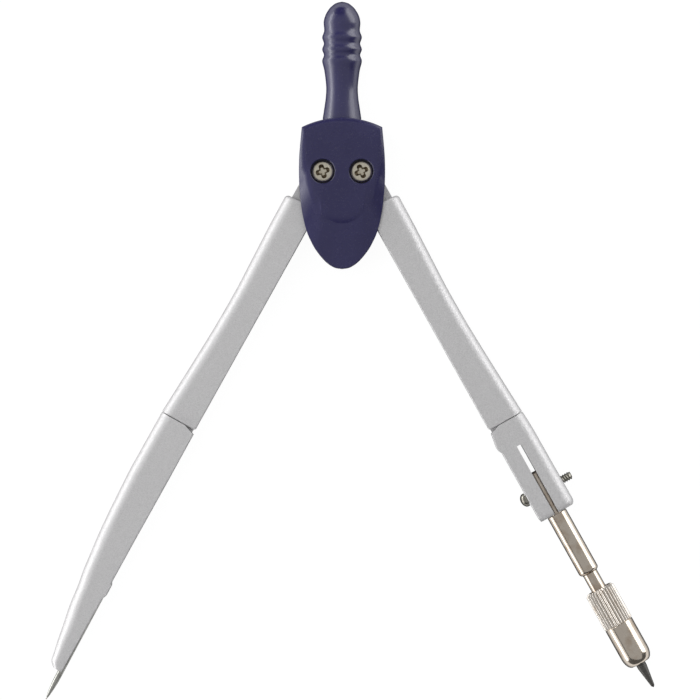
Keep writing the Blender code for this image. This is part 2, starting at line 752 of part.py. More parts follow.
def needle(leg, knee, steel):
    """The needle lies in a groove along the inner edge, held by a set screw from the back."""
    side = -1
    pin = knee_origin()
    end = KNEE_DEPTH + NEEDLE_LEG_LENGTH
    tip = Vector((side * (-NEEDLE_TIP_INWARD - pin.x), -end - NEEDLE_STANDOUT - pin.y, POINT_OFFSET))
    up = Vector((side * math.sin(NEEDLE_SLANT), math.cos(NEEDLE_SLANT), 0.0))
    radius = NEEDLE_DIAMETER / 2
    profile = ((0.0, 0.0), (radius, NEEDLE_POINT_LENGTH), (radius, NEEDLE_LENGTH), (0.0, NEEDLE_LENGTH))
    aim(place("needle", turned(profile, SMALL_SEGMENTS), steel, knee), tip, up)
    bore = place("needle_bore", rod(radius + RUNNING_FIT, -OVERRUN, NEEDLE_LENGTH + SEAT), None, knee)
    cut(leg, aim(bore, tip, up))

    at = Vector((side * (-SET_SCREW_INWARD - pin.x), SET_SCREW_ABOVE_END - end - pin.y, 0.0))
    back = -LOWER_THICKNESS / 2
    radius = SET_SCREW_DIAMETER / 2
    top = POINT_OFFSET - NEEDLE_DIAMETER / 2 - SEAT
    screw = place("needle_set_screw", rod(radius, back + SET_SCREW_RECESS, top), steel, knee)
    screw.location = at
    slot = box(
        (-radius - OVERRUN, -SET_SCREW_SLOT_WIDTH / 2, back - OVERRUN),
        (radius + OVERRUN, SET_SCREW_SLOT_WIDTH / 2, back + SET_SCREW_RECESS + SET_SCREW_SLOT_DEPTH),
    )
    groove = place("set_screw_slot", slot, None, knee)
    groove.location = at
    cut(screw, groove)
    hole = place("set_screw_hole", rod(radius + RUNNING_FIT, back - OVERRUN, POINT_OFFSET), None, knee)
    hole.location = at
    cut(leg, hole)


# Split socket, clamp screw and lead holder


def socket_end():
    """How far down the leg the split socket ends."""
    return KNEE_DEPTH + PENCIL_LEG_LENGTH


def holder_place(depth):
    """A point on the lead holder's axis in the right knee's frame."""
    pin = knee_origin()
    return Vector((HOLDER_OUTWARD - pin.x, -depth - pin.y, POINT_OFFSET))


def split_socket(leg, knee):
    end = socket_end()
    down = (0.0, -1.0, 0.0)
    depth = SHANK_LENGTH - SEAT + BORE_FIT
    drill = rod(SHANK_DIAMETER / 2 + BORE_FIT, 0.0, depth + OVERRUN, ROUND_SEGMENTS)
    bore = place("shank_bore", drill, None, knee)
    cut(leg, aim(bore, holder_place(end - depth), down))
    top = holder_place(end - SLIT_LENGTH)
    bottom = holder_place(end + OVERRUN)
    deep = LOWER_THICKNESS / 2 + OVERRUN
    slit = box((top.x - SLIT_WIDTH / 2, bottom.y, -deep), (top.x + SLIT_WIDTH / 2, top.y, deep))
    cut(leg, place("socket_slit", slit, None, knee))
    wide = LOWER_OUTER + LOWER_INNER + OVERRUN
    hole = place("clamp_hole", rod(CLAMP_DIAMETER / 2 + RUNNING_FIT, -wide, wide), None, knee)
    at = holder_place(end - CLAMP_ABOVE_END)
    at.z = -CLAMP_BEHIND
    cut(leg, aim(hole, at, (1.0, 0.0, 0.0)))


def clamp_screw(knee, brass):
    """A slotted round-head screw across the slit, entered from the inner side."""
    pin = knee_origin()
    under_head = -CLAMP_SIDE_SHARE * LOWER_INNER - CLAMP_HEAD_STANDOFF - pin.x
    at = Vector((under_head, CLAMP_ABOVE_END - socket_end() - pin.y, -CLAMP_BEHIND))
    turn = axis("clamp_screw_axis", at, knee)
    head = CLAMP_HEAD_DIAMETER / 2
    shaft = CLAMP_DIAMETER / 2
    length = CLAMP_END_OUTWARD - pin.x - under_head
    crown = CLAMP_HEAD_HEIGHT / 2
    profile = []
    for across, up in reversed(quarter_round(DOME_STEPS)):
        profile.append((head * across, -CLAMP_HEAD_HEIGHT + crown * (1 - up)))
    profile += [(head, 0.0), (shaft, 0.0), (shaft, length), (0.0, length)]
    screw = place("clamp_screw", turned(profile, ROUND_SEGMENTS), brass, turn)
    aim(screw, (0.0, 0.0, 0.0), (1.0, 0.0, 0.0))
    slot = box(
        (-CLAMP_HEAD_HEIGHT - OVERRUN, -head - OVERRUN, -CLAMP_SLOT_WIDTH / 2),
        (-CLAMP_HEAD_HEIGHT + CLAMP_SLOT_DEPTH, head + OVERRUN, CLAMP_SLOT_WIDTH / 2),
    )
    cut(screw, place("clamp_slot", slot, None, turn))


def lead_holder(knee, nickel, brass, lead):
    """Turned pieces on one axis. Their profiles are written with heights down from the knee pin."""
    slide = axis("lead_holder_axis", holder_place(0.0), knee)
    down = (0.0, -1.0, 0.0)
    start = (0.0, 0.0, 0.0)

    shank = SHANK_DIAMETER / 2
    stem = STEM_DIAMETER / 2
    neck = NECK_DIAMETER / 2
    spigot = NUT_THREAD_DIAMETER / 2 - THREAD_FIT
    bore = LEAD_DIAMETER / 2 + LEAD_FIT
    butt = socket_end() + SEAT
    shank_top = butt - SHANK_LENGTH
    stem_end = butt + STEM_LENGTH
    nut_top = stem_end + NECK_LENGTH
    nose_end = nut_top + KNURL_LENGTH + NOSE_LENGTH
    lead_tip = nose_end + LEAD_STANDOUT
    lead_top = lead_tip - LEAD_LENGTH
    collet_end = nose_end - 2 * NOSE_LIP
    collet_start = collet_end - COLLET_LENGTH
    spigot_top = nut_top + SEAT
    spigot_end = collet_start - SEAT
    bore_top = lead_top - LEAD_BORE_SPARE
    profile = [(0.0, shank_top), (shank, shank_top), (shank, butt), (stem, butt)]
    for across, up in quarter_round(CORNER_STEPS):
        profile.append((stem - STEM_ROUND * (1 - across), stem_end - STEM_ROUND * (1 - up)))
    profile += [
        (neck, stem_end),
        (neck, spigot_top),
        (spigot, spigot_top),
        (spigot, spigot_end),
        (bore, spigot_end),
        (bore, bore_top),
        (0.0, bore_top),
    ]
    aim(place("lead_holder_body", turned(profile, ROUND_SEGMENTS), nickel, slide), start, down)

    barrel = COLLET_BARREL_DIAMETER / 2
    head = COLLET_HEAD_DIAMETER / 2
    cone_start = collet_end - COLLET_CONE_LENGTH
    head_start = cone_start - COLLET_HEAD_LENGTH
    mouth = bore + NOSE_HOLE_FIT - SEAT
    profile = [
        (bore, collet_start),
        (barrel, collet_start),
        (barrel, head_start),
        (head, head_start + SEAT),
        (head, cone_start),
        (mouth, collet_end),
        (bore, collet_end),
    ]
    collet = place("collet", turned(profile, ROUND_SEGMENTS, True), brass, slide)
    aim(collet, start, down)
    for number, turn in enumerate(COLLET_SLIT_TURNS):
        reach = head + OVERRUN
        slit = box(
            (-reach, -COLLET_SLIT_WIDTH / 2, collet_start + COLLET_RING_LENGTH),
            (reach, COLLET_SLIT_WIDTH / 2, collet_end + OVERRUN),
        )
        saw = place(f"collet_slit_{number}", slit, None, slide)
        aim(saw, start, down)
        saw.matrix_basis = saw.matrix_basis @ Matrix.Rotation(turn, 4, "Z")
        cut(collet, saw)

    turn_axis = axis("collet_nut_axis", (0.0, 0.0, 0.0), slide)
    collet_nut(turn_axis, bore, nut_top, (collet_start, cone_start, collet_end), nickel)

    radius = LEAD_DIAMETER / 2
    shoulder = lead_tip - LEAD_POINT_LENGTH
    profile = ((0.0, lead_top), (radius, lead_top), (radius, shoulder), (0.0, lead_tip))
    feed = axis("lead_axis", (0.0, 0.0, 0.0), slide)
    aim(place("lead", turned(profile, SMALL_SEGMENTS), lead, feed), start, down)


def collet_nut(turn_axis, bore, nut_top, collet_depths, nickel):
    """The knurled nut with its smooth nose, whose inner cone closes the collet on the lead."""
    collet_start, cone_start, collet_end = collet_depths
    knurl_end = nut_top + KNURL_LENGTH
    nose_end = knurl_end + NOSE_LENGTH
    knurl = KNURL_DIAMETER / 2
    nose = NOSE_DIAMETER / 2
    thread = NUT_THREAD_DIAMETER / 2
    chamber = CHAMBER_DIAMETER / 2
    rounding = [
        (nose - NOSE_ROUND_INSET * (1 - across), nose_end - NOSE_ROUND * (1 - up))
        for across, up in quarter_round(DOME_STEPS)
    ]
    profile = [
        (thread, nut_top),
        (knurl - KNURL_CHAMFER, nut_top),
        (knurl, nut_top + KNURL_CHAMFER),
        (knurl, knurl_end),
        (nose, knurl_end),
        *rounding,
        (bore + NOSE_HOLE_FIT, nose_end),
        (bore + NOSE_HOLE_FIT, collet_end + SEAT),
        (chamber, cone_start),
        (chamber, collet_start - SEAT),
        (thread, collet_start - SEAT),
    ]
    nut = place("collet_nut", turned(profile, KNURL_TEETH, True), nickel, turn_axis)
    aim(nut, (0.0, 0.0, 0.0), (0.0, -1.0, 0.0))


# Handle


def handle(plastic, steel):
    up = (0.0, 1.0, 0.0)
    start = (0.0, 0.0, MID_HEIGHT)
    points = [(HANDLE_RADIUS * wide, HANDLE_START + HANDLE_LENGTH * along) for along, wide in HANDLE_SHARES]
    outer = [(max(radius, 0.0), height) for radius, height in smooth(points, HANDLE_STEPS)]
    stud = STUD_DIAMETER / 2
    socket = HANDLE_START + HANDLE_SKIRT_DEPTH
    skirt = outer[0][0] - HANDLE_SKIRT_WALL
    hole = stud + RUNNING_FIT
    top = socket + STUD_LENGTH + SEAT
    profile = [(0.0, top), (hole, top), (hole, socket), (skirt, socket), (skirt, HANDLE_START)]
    aim(place("handle", turned(profile + outer, ROUND_SEGMENTS), plastic), start, up)

    spigot = SPIGOT_DIAMETER / 2
    collar = COLLAR_DIAMETER / 2
    step = SPIGOT_BOTTOM + COLLAR_HEIGHT
    shoulder = socket - SEAT
    profile = (
        (0.0, SPIGOT_BOTTOM),
        (collar, SPIGOT_BOTTOM),
        (collar, step),
        (spigot, step),
        (spigot, shoulder),
        (stud, shoulder),
        (stud, socket + STUD_LENGTH),
        (0.0, socket + STUD_LENGTH),
    )
    aim(place("handle_stud", turned(profile, ROUND_SEGMENTS), steel), start, up)


head_covers(material("navy_plastic", NAVY))
handle(material("navy_handle", NAVY), material("stud_steel", STEEL))

for side, tag in ((-1, "left"), (1, "right")):
    pivot_hardware(
        side,
        tag,
        material(f"screw_nickel_{tag}", BRASSY),
        material(f"nut_steel_{tag}", STEEL),
        material(f"nylon_{tag}", NYLON),
    )
    leg = axis(f"{tag}_leg_axis", (side * PIVOT_SPACING / 2, 0.0, MID_HEIGHT), turn=side * LEG_ANGLE)
    origin = knee_origin()
    knee = axis(f"{tag}_knee_axis", (side * origin.x, origin.y, 0.0), leg)
    paint = material(f"silver_paint_{tag}", SILVER)
    upper_leg(side, tag, leg, knee, paint)
    knee_pin(tag, knee, material(f"pin_steel_{tag}", STEEL))
    if side < 0:
        lower = lower_leg(side, tag, knee, NEEDLE_LEG_SHARES, NEEDLE_LEG_LENGTH, paint)
        needle(lower, knee, material("needle_steel", STEEL))
    else:
        lower = lower_leg(side, tag, knee, PENCIL_LEG_SHARES, PENCIL_LEG_LENGTH, paint)
        split_socket(lower, knee)
        clamp_screw(knee, material("clamp_nickel", NICKEL))
        lead_holder(
            knee,
            material("holder_nickel", NICKEL),
            material("collet_brass", BRASSY),
            material("graphite", GRAPHITE),
        )

# Settle the cuts and joins into each piece, so that its round faces shade smooth and its edges sharp
view = bpy.context.evaluated_depsgraph_get()
for piece in [made for made in bpy.data.objects if made.modifiers]:
    settled = bpy.data.meshes.new_from_object(piece.evaluated_get(view))
    settled.name = piece.name
    settled.shade_smooth()
    settled.set_sharp_from_angle(angle=SHARP_ANGLE)
    piece.modifiers.clear()
    piece.data = settled
for tool in [made for made in bpy.data.objects if made.hide_render]:
    bpy.data.objects.remove(tool, do_unlink=True)
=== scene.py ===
"""The looks of a self-centring drawing compass, which lies open on a white table.

Lengths are in metres, in the frame of the solids: X runs towards the pencil leg, Y towards the handle and Z
out of the front of the head, whose flat back lies on the table.
"""

import json
import math

import bmesh
import bpy
from mathutils import Matrix, Vector


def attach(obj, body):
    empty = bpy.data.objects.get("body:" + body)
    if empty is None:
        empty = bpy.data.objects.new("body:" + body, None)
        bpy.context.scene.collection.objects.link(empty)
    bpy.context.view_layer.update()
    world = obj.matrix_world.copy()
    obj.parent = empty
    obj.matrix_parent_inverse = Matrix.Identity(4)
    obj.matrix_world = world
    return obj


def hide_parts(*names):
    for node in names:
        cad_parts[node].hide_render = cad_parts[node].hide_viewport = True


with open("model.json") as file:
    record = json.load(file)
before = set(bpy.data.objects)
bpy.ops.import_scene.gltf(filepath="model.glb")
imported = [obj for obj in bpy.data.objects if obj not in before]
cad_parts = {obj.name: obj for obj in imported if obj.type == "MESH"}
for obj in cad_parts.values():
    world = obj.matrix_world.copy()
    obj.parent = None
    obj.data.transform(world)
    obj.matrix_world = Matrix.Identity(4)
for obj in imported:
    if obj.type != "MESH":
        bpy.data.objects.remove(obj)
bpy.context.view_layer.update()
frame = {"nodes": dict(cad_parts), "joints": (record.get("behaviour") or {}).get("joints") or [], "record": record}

# The studio: a camera on a stand straight above, a white table, a broad soft panel overhead and a bright
# strip at each side, which draws the light lines along the handle and along the edges of the legs.

MM = 0.001
CAMERA_PLACE = Vector((1.6, -35.7, 1100.0)) * MM
CAMERA_LENS = 280.6
CAMERA_FRONT_RADIUS = 45.0 * MM
ROUND_SEGMENTS = 64
CAMERA_BLACK = (0.004, 0.004, 0.004, 1.0)
PLAIN_WHITE = (1.0, 1.0, 1.0, 1.0)
TABLE_REACH = 3.0
TABLE_DROP = 0.02 * MM
TABLE_WHITE = (0.86, 0.86, 0.86)
TABLE_GLOW = 1.06
TABLE_GLOW_SHARE = 0.9
# Reflections show the table with painted shade up to the first distance from the compass, and as lit from the
# second
TABLE_PAINTED_SHADE_REACH = (7.0 * MM, 21.0 * MM)
SKY_RADIANCE = 0.12
# Panels: width, height, place, the point that each faces, radiance, and whether glossy faces mirror it
PANELS = (
    ("overhead_panel", 3.0, 2.6, (0.2, 0.1, 1.24), (0.2, 0.1, 0.0), 0.37, True),
    ("left_strip", 1.5, 0.17, (-0.62, -0.05, 0.085), (0.0, -0.05, 0.085), 4.9, True),
    ("left_card", 1.5, 0.28, (-0.62, -0.05, 0.31), (0.0, -0.05, 0.31), 1.0, True),
    ("right_strip", 0.94, 0.5, (0.58, 0.45, 0.25), (0.0, 0.1, 0.25), 2.8, True),
    ("fill", 0.6, 0.6, (-0.35, 0.1, 0.55), (0.0, -0.05, 0.0), 1.8, False),
)


def node(tree, kind, inputs=None, **settings):
    """A shader node with its settings, whose inputs are values or the sockets that feed them."""
    made = tree.nodes.new(kind)
    for name, value in settings.items():
        setattr(made, name, value)
    for name, value in (inputs or {}).items():
        if isinstance(value, bpy.types.NodeSocket):
            tree.links.new(value, made.inputs[name])
        else:
            made.inputs[name].default_value = value
    return made


def empty_material(name):
    made = bpy.data.materials.new(name)
    made.use_nodes = True
    made.node_tree.nodes.clear()
    return made, made.node_tree


def maths(tree, operation, first, second):
    """One step of arithmetic between numbers or sockets."""
    return node(tree, "ShaderNodeMath", {0: first, 1: second}, operation=operation).outputs[0]


def vector_maths(tree, operation, inputs):
    """One step of arithmetic between vectors or colours."""
    return node(tree, "ShaderNodeVectorMath", inputs, operation=operation).outputs[0]


def mask(tree, value, none, full):
    """Nothing up to the first limit of a value, and all from the second."""
    return node(tree, "ShaderNodeMapRange", {"Value": value, "From Min": none, "From Max": full}).outputs[0]


def white_table():
    """White to the camera and in reflections, with the compass's shadow, with painted shade on the table near the
    compass in reflections, and white paint to the rest.
    """
    made, tree = empty_material("white_table")
    path = node(tree, "ShaderNodeLightPath").outputs
    seen = maths(tree, "MAXIMUM", path["Is Camera Ray"], path["Is Glossy Ray"])
    seen = maths(tree, "MAXIMUM", seen, path["Is Transmission Ray"])
    # Painted shade: by the length of a reflected ray, the table is darker close to the compass
    away = mask(tree, path["Ray Length"], *TABLE_PAINTED_SHADE_REACH)
    lit = maths(tree, "MAXIMUM", away, maths(tree, "SUBTRACT", 1.0, path["Is Glossy Ray"]))
    share = maths(tree, "MULTIPLY", maths(tree, "MULTIPLY", seen, TABLE_GLOW_SHARE), lit)
    white = vector_maths(tree, "SCALE", {0: TABLE_WHITE, "Scale": lit})
    painted = node(tree, "ShaderNodeBsdfDiffuse", {"Color": white})
    glow = node(tree, "ShaderNodeEmission", {"Color": PLAIN_WHITE, "Strength": TABLE_GLOW})
    mixed = node(tree, "ShaderNodeMixShader", {0: share, 1: painted.outputs[0], 2: glow.outputs[0]})
    node(tree, "ShaderNodeOutputMaterial", {"Surface": mixed.outputs[0]})
    return made


def stage_plane(name, outline, height, look):
    """A flat thing of the studio, which faces the compass or bears it."""
    bm = bmesh.new()
    bm.faces.new([bm.verts.new((x, y, height)) for x, y in outline])
    mesh = bpy.data.meshes.new(name)
    bm.to_mesh(mesh)
    bm.free()
    mesh.materials.append(look)
    plane = bpy.data.objects.new(name, mesh)
    bpy.context.scene.collection.objects.link(plane)
    return plane


def circle(radius):
    angles = [math.tau * i / ROUND_SEGMENTS for i in range(ROUND_SEGMENTS)]
    return [Vector((radius * math.cos(angle), radius * math.sin(angle))) for angle in angles]


def camera_front():
    """The black front of the camera, which glossy faces show as a soft dark spot."""
    look, tree = empty_material("camera_black")
    black = node(tree, "ShaderNodeBsdfDiffuse", {"Color": CAMERA_BLACK})
    node(tree, "ShaderNodeOutputMaterial", {"Surface": black.outputs[0]})
    outline = [(CAMERA_PLACE.x + x, CAMERA_PLACE.y + y) for x, y in circle(CAMERA_FRONT_RADIUS)]
    front = stage_plane("camera_front", outline, CAMERA_PLACE.z + MM, look)
    front.visible_camera = False
    front.visible_diffuse = False
    front.visible_shadow = False


def studio():
    """The camera, the pale sky, the lamps and the table."""
    scene = bpy.context.scene
    scene.view_settings.view_transform = "Standard"
    camera = bpy.data.cameras.new("camera")
    camera.lens = CAMERA_LENS
    camera.clip_start = MM
    stand = bpy.data.objects.new("camera", camera)
    stand.location = CAMERA_PLACE
    scene.collection.objects.link(stand)
    scene.camera = stand

    sky = bpy.data.worlds.new("studio")
    sky.use_nodes = True
    background = sky.node_tree.nodes["Background"].inputs
    background["Color"].default_value = PLAIN_WHITE
    background["Strength"].default_value = SKY_RADIANCE
    scene.world = sky

    for name, width, height, place, target, radiance, mirrored in PANELS:
        lamp = bpy.data.lights.new(name, "AREA")
        lamp.shape = "RECTANGLE"
        lamp.size = width
        lamp.size_y = height
        lamp.energy = math.pi * width * height * radiance
        panel = bpy.data.objects.new(name, lamp)
        panel.location = place
        panel.rotation_euler = (Vector(place) - Vector(target)).to_track_quat("Z", "Y").to_euler()
        panel.visible_camera = False
        panel.visible_glossy = mirrored
        scene.collection.objects.link(panel)

    reach = TABLE_REACH
    corners = ((-reach, -reach), (reach, -reach), (reach, reach), (-reach, reach))
    stage_plane("table_top", corners, -TABLE_DROP, white_table())
    camera_front()


studio()

# The head's back cover: a moulding of glossy navy plastic, flat behind, with a pocket for each nut, a rib
# between the legs and half of the space in which the geared leg roots turn. Its seam edge is chamfered.

JOINTS = {joint["name"]: joint for joint in frame["joints"]}
BODY_OF = {name: body for body, names in frame["record"]["behaviour"]["bodies"].items() for name in names}
PIVOT = Vector(JOINTS["right_leg_swing"]["pos_m"])
OVERRUN = 1.0 * MM
SEAT = 0.1 * MM
RUNNING_FIT = 0.05 * MM
MERGE = 0.0001 * MM
SHARP_ANGLE = math.radians(35)
QUARTER_TURN = math.radians(90)
CORNER_STEPS = 6
SMALL_CORNER_STEPS = 3
HEAD_HALF_WIDTH = 8.6 * MM
HEAD_TOP = 10.75 * MM
HEAD_SHOULDER_WIDTH = 8.05 * MM
HEAD_SHOULDER_DROP = 1.9 * MM
HEAD_BOTTOM = 19.4 * MM
COVER_THICKNESS = 5.15 * MM
SEAM_CHAMFER = 0.12 * MM
BACK_CHAMFER = 0.5 * MM
HEAD_TOP_STEPS = 20
HEAD_SIDE_STEPS = 8
# Down one side of the head: shares of the half width, and of the top or of the depth of the tip
HEAD_SIDE_SHARES = (
    (0.995, 0.28, HEAD_TOP),
    (1.0, 0.09, -HEAD_BOTTOM),
    (0.965, 0.30, -HEAD_BOTTOM),
    (0.913, 0.455, -HEAD_BOTTOM),
    (0.83, 0.605, -HEAD_BOTTOM),
    (0.735, 0.706, -HEAD_BOTTOM),
    (0.61, 0.805, -HEAD_BOTTOM),
    (0.40, 0.918, -HEAD_BOTTOM),
    (0.19, 0.983, -HEAD_BOTTOM),
)
ROOT_ROOM_HEIGHT = 3.5 * MM
ROOT_ROOM_HALF_WIDTH = 7.3 * MM
ROOT_ROOM_TOP = 4.78 * MM
ROOT_ROOM_SIDE_TOP = 1.45 * MM
LEG_ROOM_RADIUS = 7.3 * MM
LEG_ROOM_HEIGHT = 5.9 * MM
# The rib between the legs: its width, and the heights of its top and bottom on the head
STOP_RIB = (1.0 * MM, -7.4 * MM, -17.2 * MM)
SCREW_DIAMETER = 2.4 * MM
HEX_SIDES = 6
NUT_ACROSS_FLATS = 5.0 * MM
NUT_HEIGHT = 2.0 * MM
NUT_RECESS = 0.15 * MM
SPIGOT_DIAMETER = 4.4 * MM
SPIGOT_BOTTOM = 5.5 * MM
COLLAR_DIAMETER = 6.0 * MM
COLLAR_HEIGHT = 1.2 * MM
SOCKET_FIT = 0.08 * MM
# Hairline scratches run two ways. Each has its turn, and its waves per metre along X, Y and Z
HAIRLINE_WAYS = (
    (0.6, (900.0, 12000.0, 900.0)),
    (2.2, (1100.0, 14000.0, 1100.0)),
)
HAIRLINE_LIMITS = (0.68, 0.74)
# Which sockets of a colour mixer take the share and the two colours
MIX_SOCKETS = (0, 6, 7)
MIX_RESULT = 2
# The scale of a pattern is in waves per metre
DUST_SCALE = 9000.0
DUST_LIMITS = (0.76, 0.8)
DUST_GREY = (0.3, 0.3, 0.34)
SMEAR_SCALE = 260.0
NAVY = (0.0165, 0.0148, 0.058)
NAVY_ROUGHNESS_SHARES = (0.7, 1.5)
# The wear of a finish is the strength of its scratches and that of its dust
NAVY_WEAR = (0.35, 0.25)
FLOW_SCALE = 130.0
FLOW_TONE = 1.5
PEEL_SCALE = 900.0
PEEL_STRENGTH = 0.05
PEEL_DEPTH = 0.02 * MM
COAT_IOR = 1.6
COAT_ROUGHNESS_SHARE = 0.7


def smooth_curve(points, steps):
    """A curve through the points, whose direction at each is that of its neighbours."""
    points = [Vector(point) for point in points]
    points = [2 * points[0] - points[1], *points, 2 * points[-1] - points[-2]]
    curve = []
    for before, start, end, after in zip(points, points[1:], points[2:], points[3:]):
        for step in range(steps):
            t = step / steps
            linear = (end - before) * t
            square = (2 * before - 5 * start + 4 * end - after) * t**2
            cubic = (3 * start - before - 3 * end + after) * t**3
            curve.append(0.5 * (2 * start + linear + square + cubic))
    curve.append(points[-2])
    return curve


def rounded(corners, steps=CORNER_STEPS):
    """A line through corners of (x, y, reach), where reach is how far from the corner its arc begins."""
    points = []
    for i, (x, y, reach) in enumerate(corners):
        here = Vector((x, y))
        if not reach:
            points.append(here)
            continue
        before = (Vector(corners[i - 1][:2]) - here).normalized()
        after = (Vector(corners[(i + 1) % len(corners)][:2]) - here).normalized()
        centre = here + (before + after).normalized() * reach / math.cos(before.angle(after) / 2)
        start = here + before * reach - centre
        end = here + after * reach - centre
        for step in range(steps + 1):
            points.append(centre + start.lerp(end, step / steps).normalized() * start.length)
    return points


def inset(outline, distance):
    """A clockwise outline moved inwards, each point along the bisector of its two sides."""
    moved = []
    for i, here in enumerate(outline):
        before = (here - outline[i - 1]).normalized()
        after = (outline[(i + 1) % len(outline)] - here).normalized()
        inwards = Vector((before.y + after.y, -before.x - after.x)).normalized()
        moved.append(here + inwards * distance / inwards.dot(Vector((after.y, -after.x))))
    return moved


def loft(rings):
    """A closed skin through rings of as many points each."""
    bm = bmesh.new()
    loops = [[bm.verts.new(point) for point in ring] for ring in rings]
    count = len(loops[0])
    for low, high in zip(loops, loops[1:]):
        for i in range(count):
            j = (i + 1) % count
            bm.faces.new((low[i], low[j], high[j], high[i]))
    bm.faces.new(reversed(loops[0]))
    bm.faces.new(loops[-1])
    return bm


def prism(outline, bottom, top):
    """An upright block of the outline."""
    return loft([[(x, y, z) for x, y in outline] for z in (bottom, top)])


def box(low, high):
    """A block between two opposite corners."""
    (left, front, bottom), (right, back, top) = low, high
    return prism(((left, front), (right, front), (right, back), (left, back)), bottom, top)


def rod(radius, bottom, top):
    return prism(circle(radius), bottom, top)


def turned(profile, segments=ROUND_SEGMENTS, swell=None, closed=False):
    """Spins a profile of (radius, height) points about Z. Swell may change a radius from angle to angle."""
    bm = bmesh.new()
    rings = []
    for radius, height in profile:
        ring = []
        for i in range(segments if radius > 0 else 1):
            angle = math.tau * i / segments
            reach = swell(radius, height, angle) if swell else radius
            ring.append(bm.verts.new((reach * math.cos(angle), reach * math.sin(angle), height)))
        rings.append(ring)
    pairs = list(zip(rings, rings[1:]))
    if closed:
        pairs.append((rings[-1], rings[0]))
    for low, high in pairs:
        for i in range(segments):
            j = (i + 1) % segments
            around = (low[i % len(low)], low[j % len(low)], high[j % len(high)], high[i % len(high)])
            corners = list(dict.fromkeys(around))
            if len(corners) > 2:
                bm.faces.new(corners)
    return bm


def shape(name, bm, matrix=None):
    """Turns a bmesh into an object, clean and with its faces pointing out."""
    bmesh.ops.remove_doubles(bm, verts=bm.verts, dist=MERGE)
    bmesh.ops.recalc_face_normals(bm, faces=bm.faces)
    mesh = bpy.data.meshes.new(name)
    bm.to_mesh(mesh)
    bm.free()
    made = bpy.data.objects.new(name, mesh)
    made.matrix_world = matrix or Matrix.Identity(4)
    bpy.context.scene.collection.objects.link(made)
    return made


def combine(piece, operation, *tools):
    """Cuts tools from a piece, or joins them to it, once it is settled."""
    for tool in tools:
        change = piece.modifiers.new(tool.name, "BOOLEAN")
        change.operation = operation
        change.solver = "EXACT"
        change.object = tool


def cut(piece, *tools):
    combine(piece, "DIFFERENCE", *tools)


def join(piece, *tools):
    combine(piece, "UNION", *tools)


def settle(piece, look):
    """Makes the cuts and joins, deletes their tools, and shades round faces smooth and flat ones flat."""
    tools = {change.object for change in piece.modifiers}
    view = bpy.context.evaluated_depsgraph_get()
    mesh = bpy.data.meshes.new_from_object(piece.evaluated_get(view))
    mesh.name = piece.name
    piece.modifiers.clear()
    piece.data = mesh
    for tool in tools:
        bpy.data.objects.remove(tool, do_unlink=True)
    mesh.shade_smooth()
    mesh.set_sharp_from_angle(angle=SHARP_ANGLE)
    mesh.materials.clear()
    mesh.materials.append(look)
    weighted = piece.modifiers.new("weighted_normals", "WEIGHTED_NORMAL")
    weighted.keep_sharp = True
    return piece


def stand_for(piece, name):
    """The piece is shown in the place of the solid of that name, and moves with its body."""
    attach(piece, BODY_OF[name])
    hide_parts(name)


def effect(name, inputs, outputs):
    """An empty node group with sockets of the given names and kinds, and its two end nodes."""
    tree = bpy.data.node_groups.new(name, "ShaderNodeTree")
    for end, sockets in (("INPUT", inputs), ("OUTPUT", outputs)):
        for title, kind in sockets.items():
            tree.interface.new_socket(name=title, in_out=end, socket_type=kind)
    return tree, node(tree, "NodeGroupInput"), node(tree, "NodeGroupOutput")


def noise(tree, place, scale, detail=2.0):
    """A soft random pattern between nothing and all."""
    return node(tree, "ShaderNodeTexNoise", {"Vector": place, "Scale": scale, "Detail": detail}).outputs[0]


def handling_marks():
    """Hairline scratches, specks of dust and the faint smears of fingers, as masks from nothing to all."""
    tree, given, result = effect(
        "handling_marks",
        {"Place": "NodeSocketVector", "Scratches": "NodeSocketFloat", "Dust": "NodeSocketFloat"},
        {"Scratches": "NodeSocketFloat", "Dust": "NodeSocketFloat", "Smears": "NodeSocketFloat"},
    )
    place = given.outputs["Place"]
    hairs = []
    for turn, scale in HAIRLINE_WAYS:
        inputs = {"Vector": place, "Rotation": (0.0, 0.0, turn), "Scale": scale}
        lay = node(tree, "ShaderNodeMapping", inputs).outputs[0]
        hairs.append(mask(tree, noise(tree, lay, 1.0), *HAIRLINE_LIMITS))
    scratches = maths(tree, "MULTIPLY", maths(tree, "MAXIMUM", *hairs), given.outputs["Scratches"])
    specks = mask(tree, noise(tree, place, DUST_SCALE, detail=0.0), *DUST_LIMITS)
    dust = maths(tree, "MULTIPLY", specks, given.outputs["Dust"])
    tree.links.new(scratches, result.inputs["Scratches"])
    tree.links.new(dust, result.inputs["Dust"])
    tree.links.new(noise(tree, place, SMEAR_SCALE, detail=3.0), result.inputs["Smears"])
    return tree


HANDLING_MARKS = handling_marks()


def object_place(tree):
    return node(tree, "ShaderNodeTexCoord").outputs["Object"]


def marks(tree, place, wear):
    """The handling marks on a finish, by name."""
    scratches, dust = wear
    inputs = {"Place": place, "Scratches": scratches, "Dust": dust}
    return node(tree, "ShaderNodeGroup", inputs, node_tree=HANDLING_MARKS).outputs


def blend_colours(tree, share, first, second):
    mixed = node(tree, "ShaderNodeMix", data_type="RGBA")
    for i, value in zip(MIX_SOCKETS, (share, first, second)):
        socket = mixed.inputs[i]
        if isinstance(value, bpy.types.NodeSocket):
            tree.links.new(value, socket)
        elif isinstance(value, tuple):
            socket.default_value = (*value, 1.0)
        else:
            socket.default_value = value
    return mixed.outputs[MIX_RESULT]


def toned(colour, share):
    """A colour made darker or lighter, up to full white."""
    return tuple(min(share * part, 1.0) for part in colour)


def ranged(tree, value, low, high):
    """Maps nothing to all onto low to high."""
    return node(tree, "ShaderNodeMapRange", {"Value": value, "To Min": low, "To Max": high}).outputs[0]


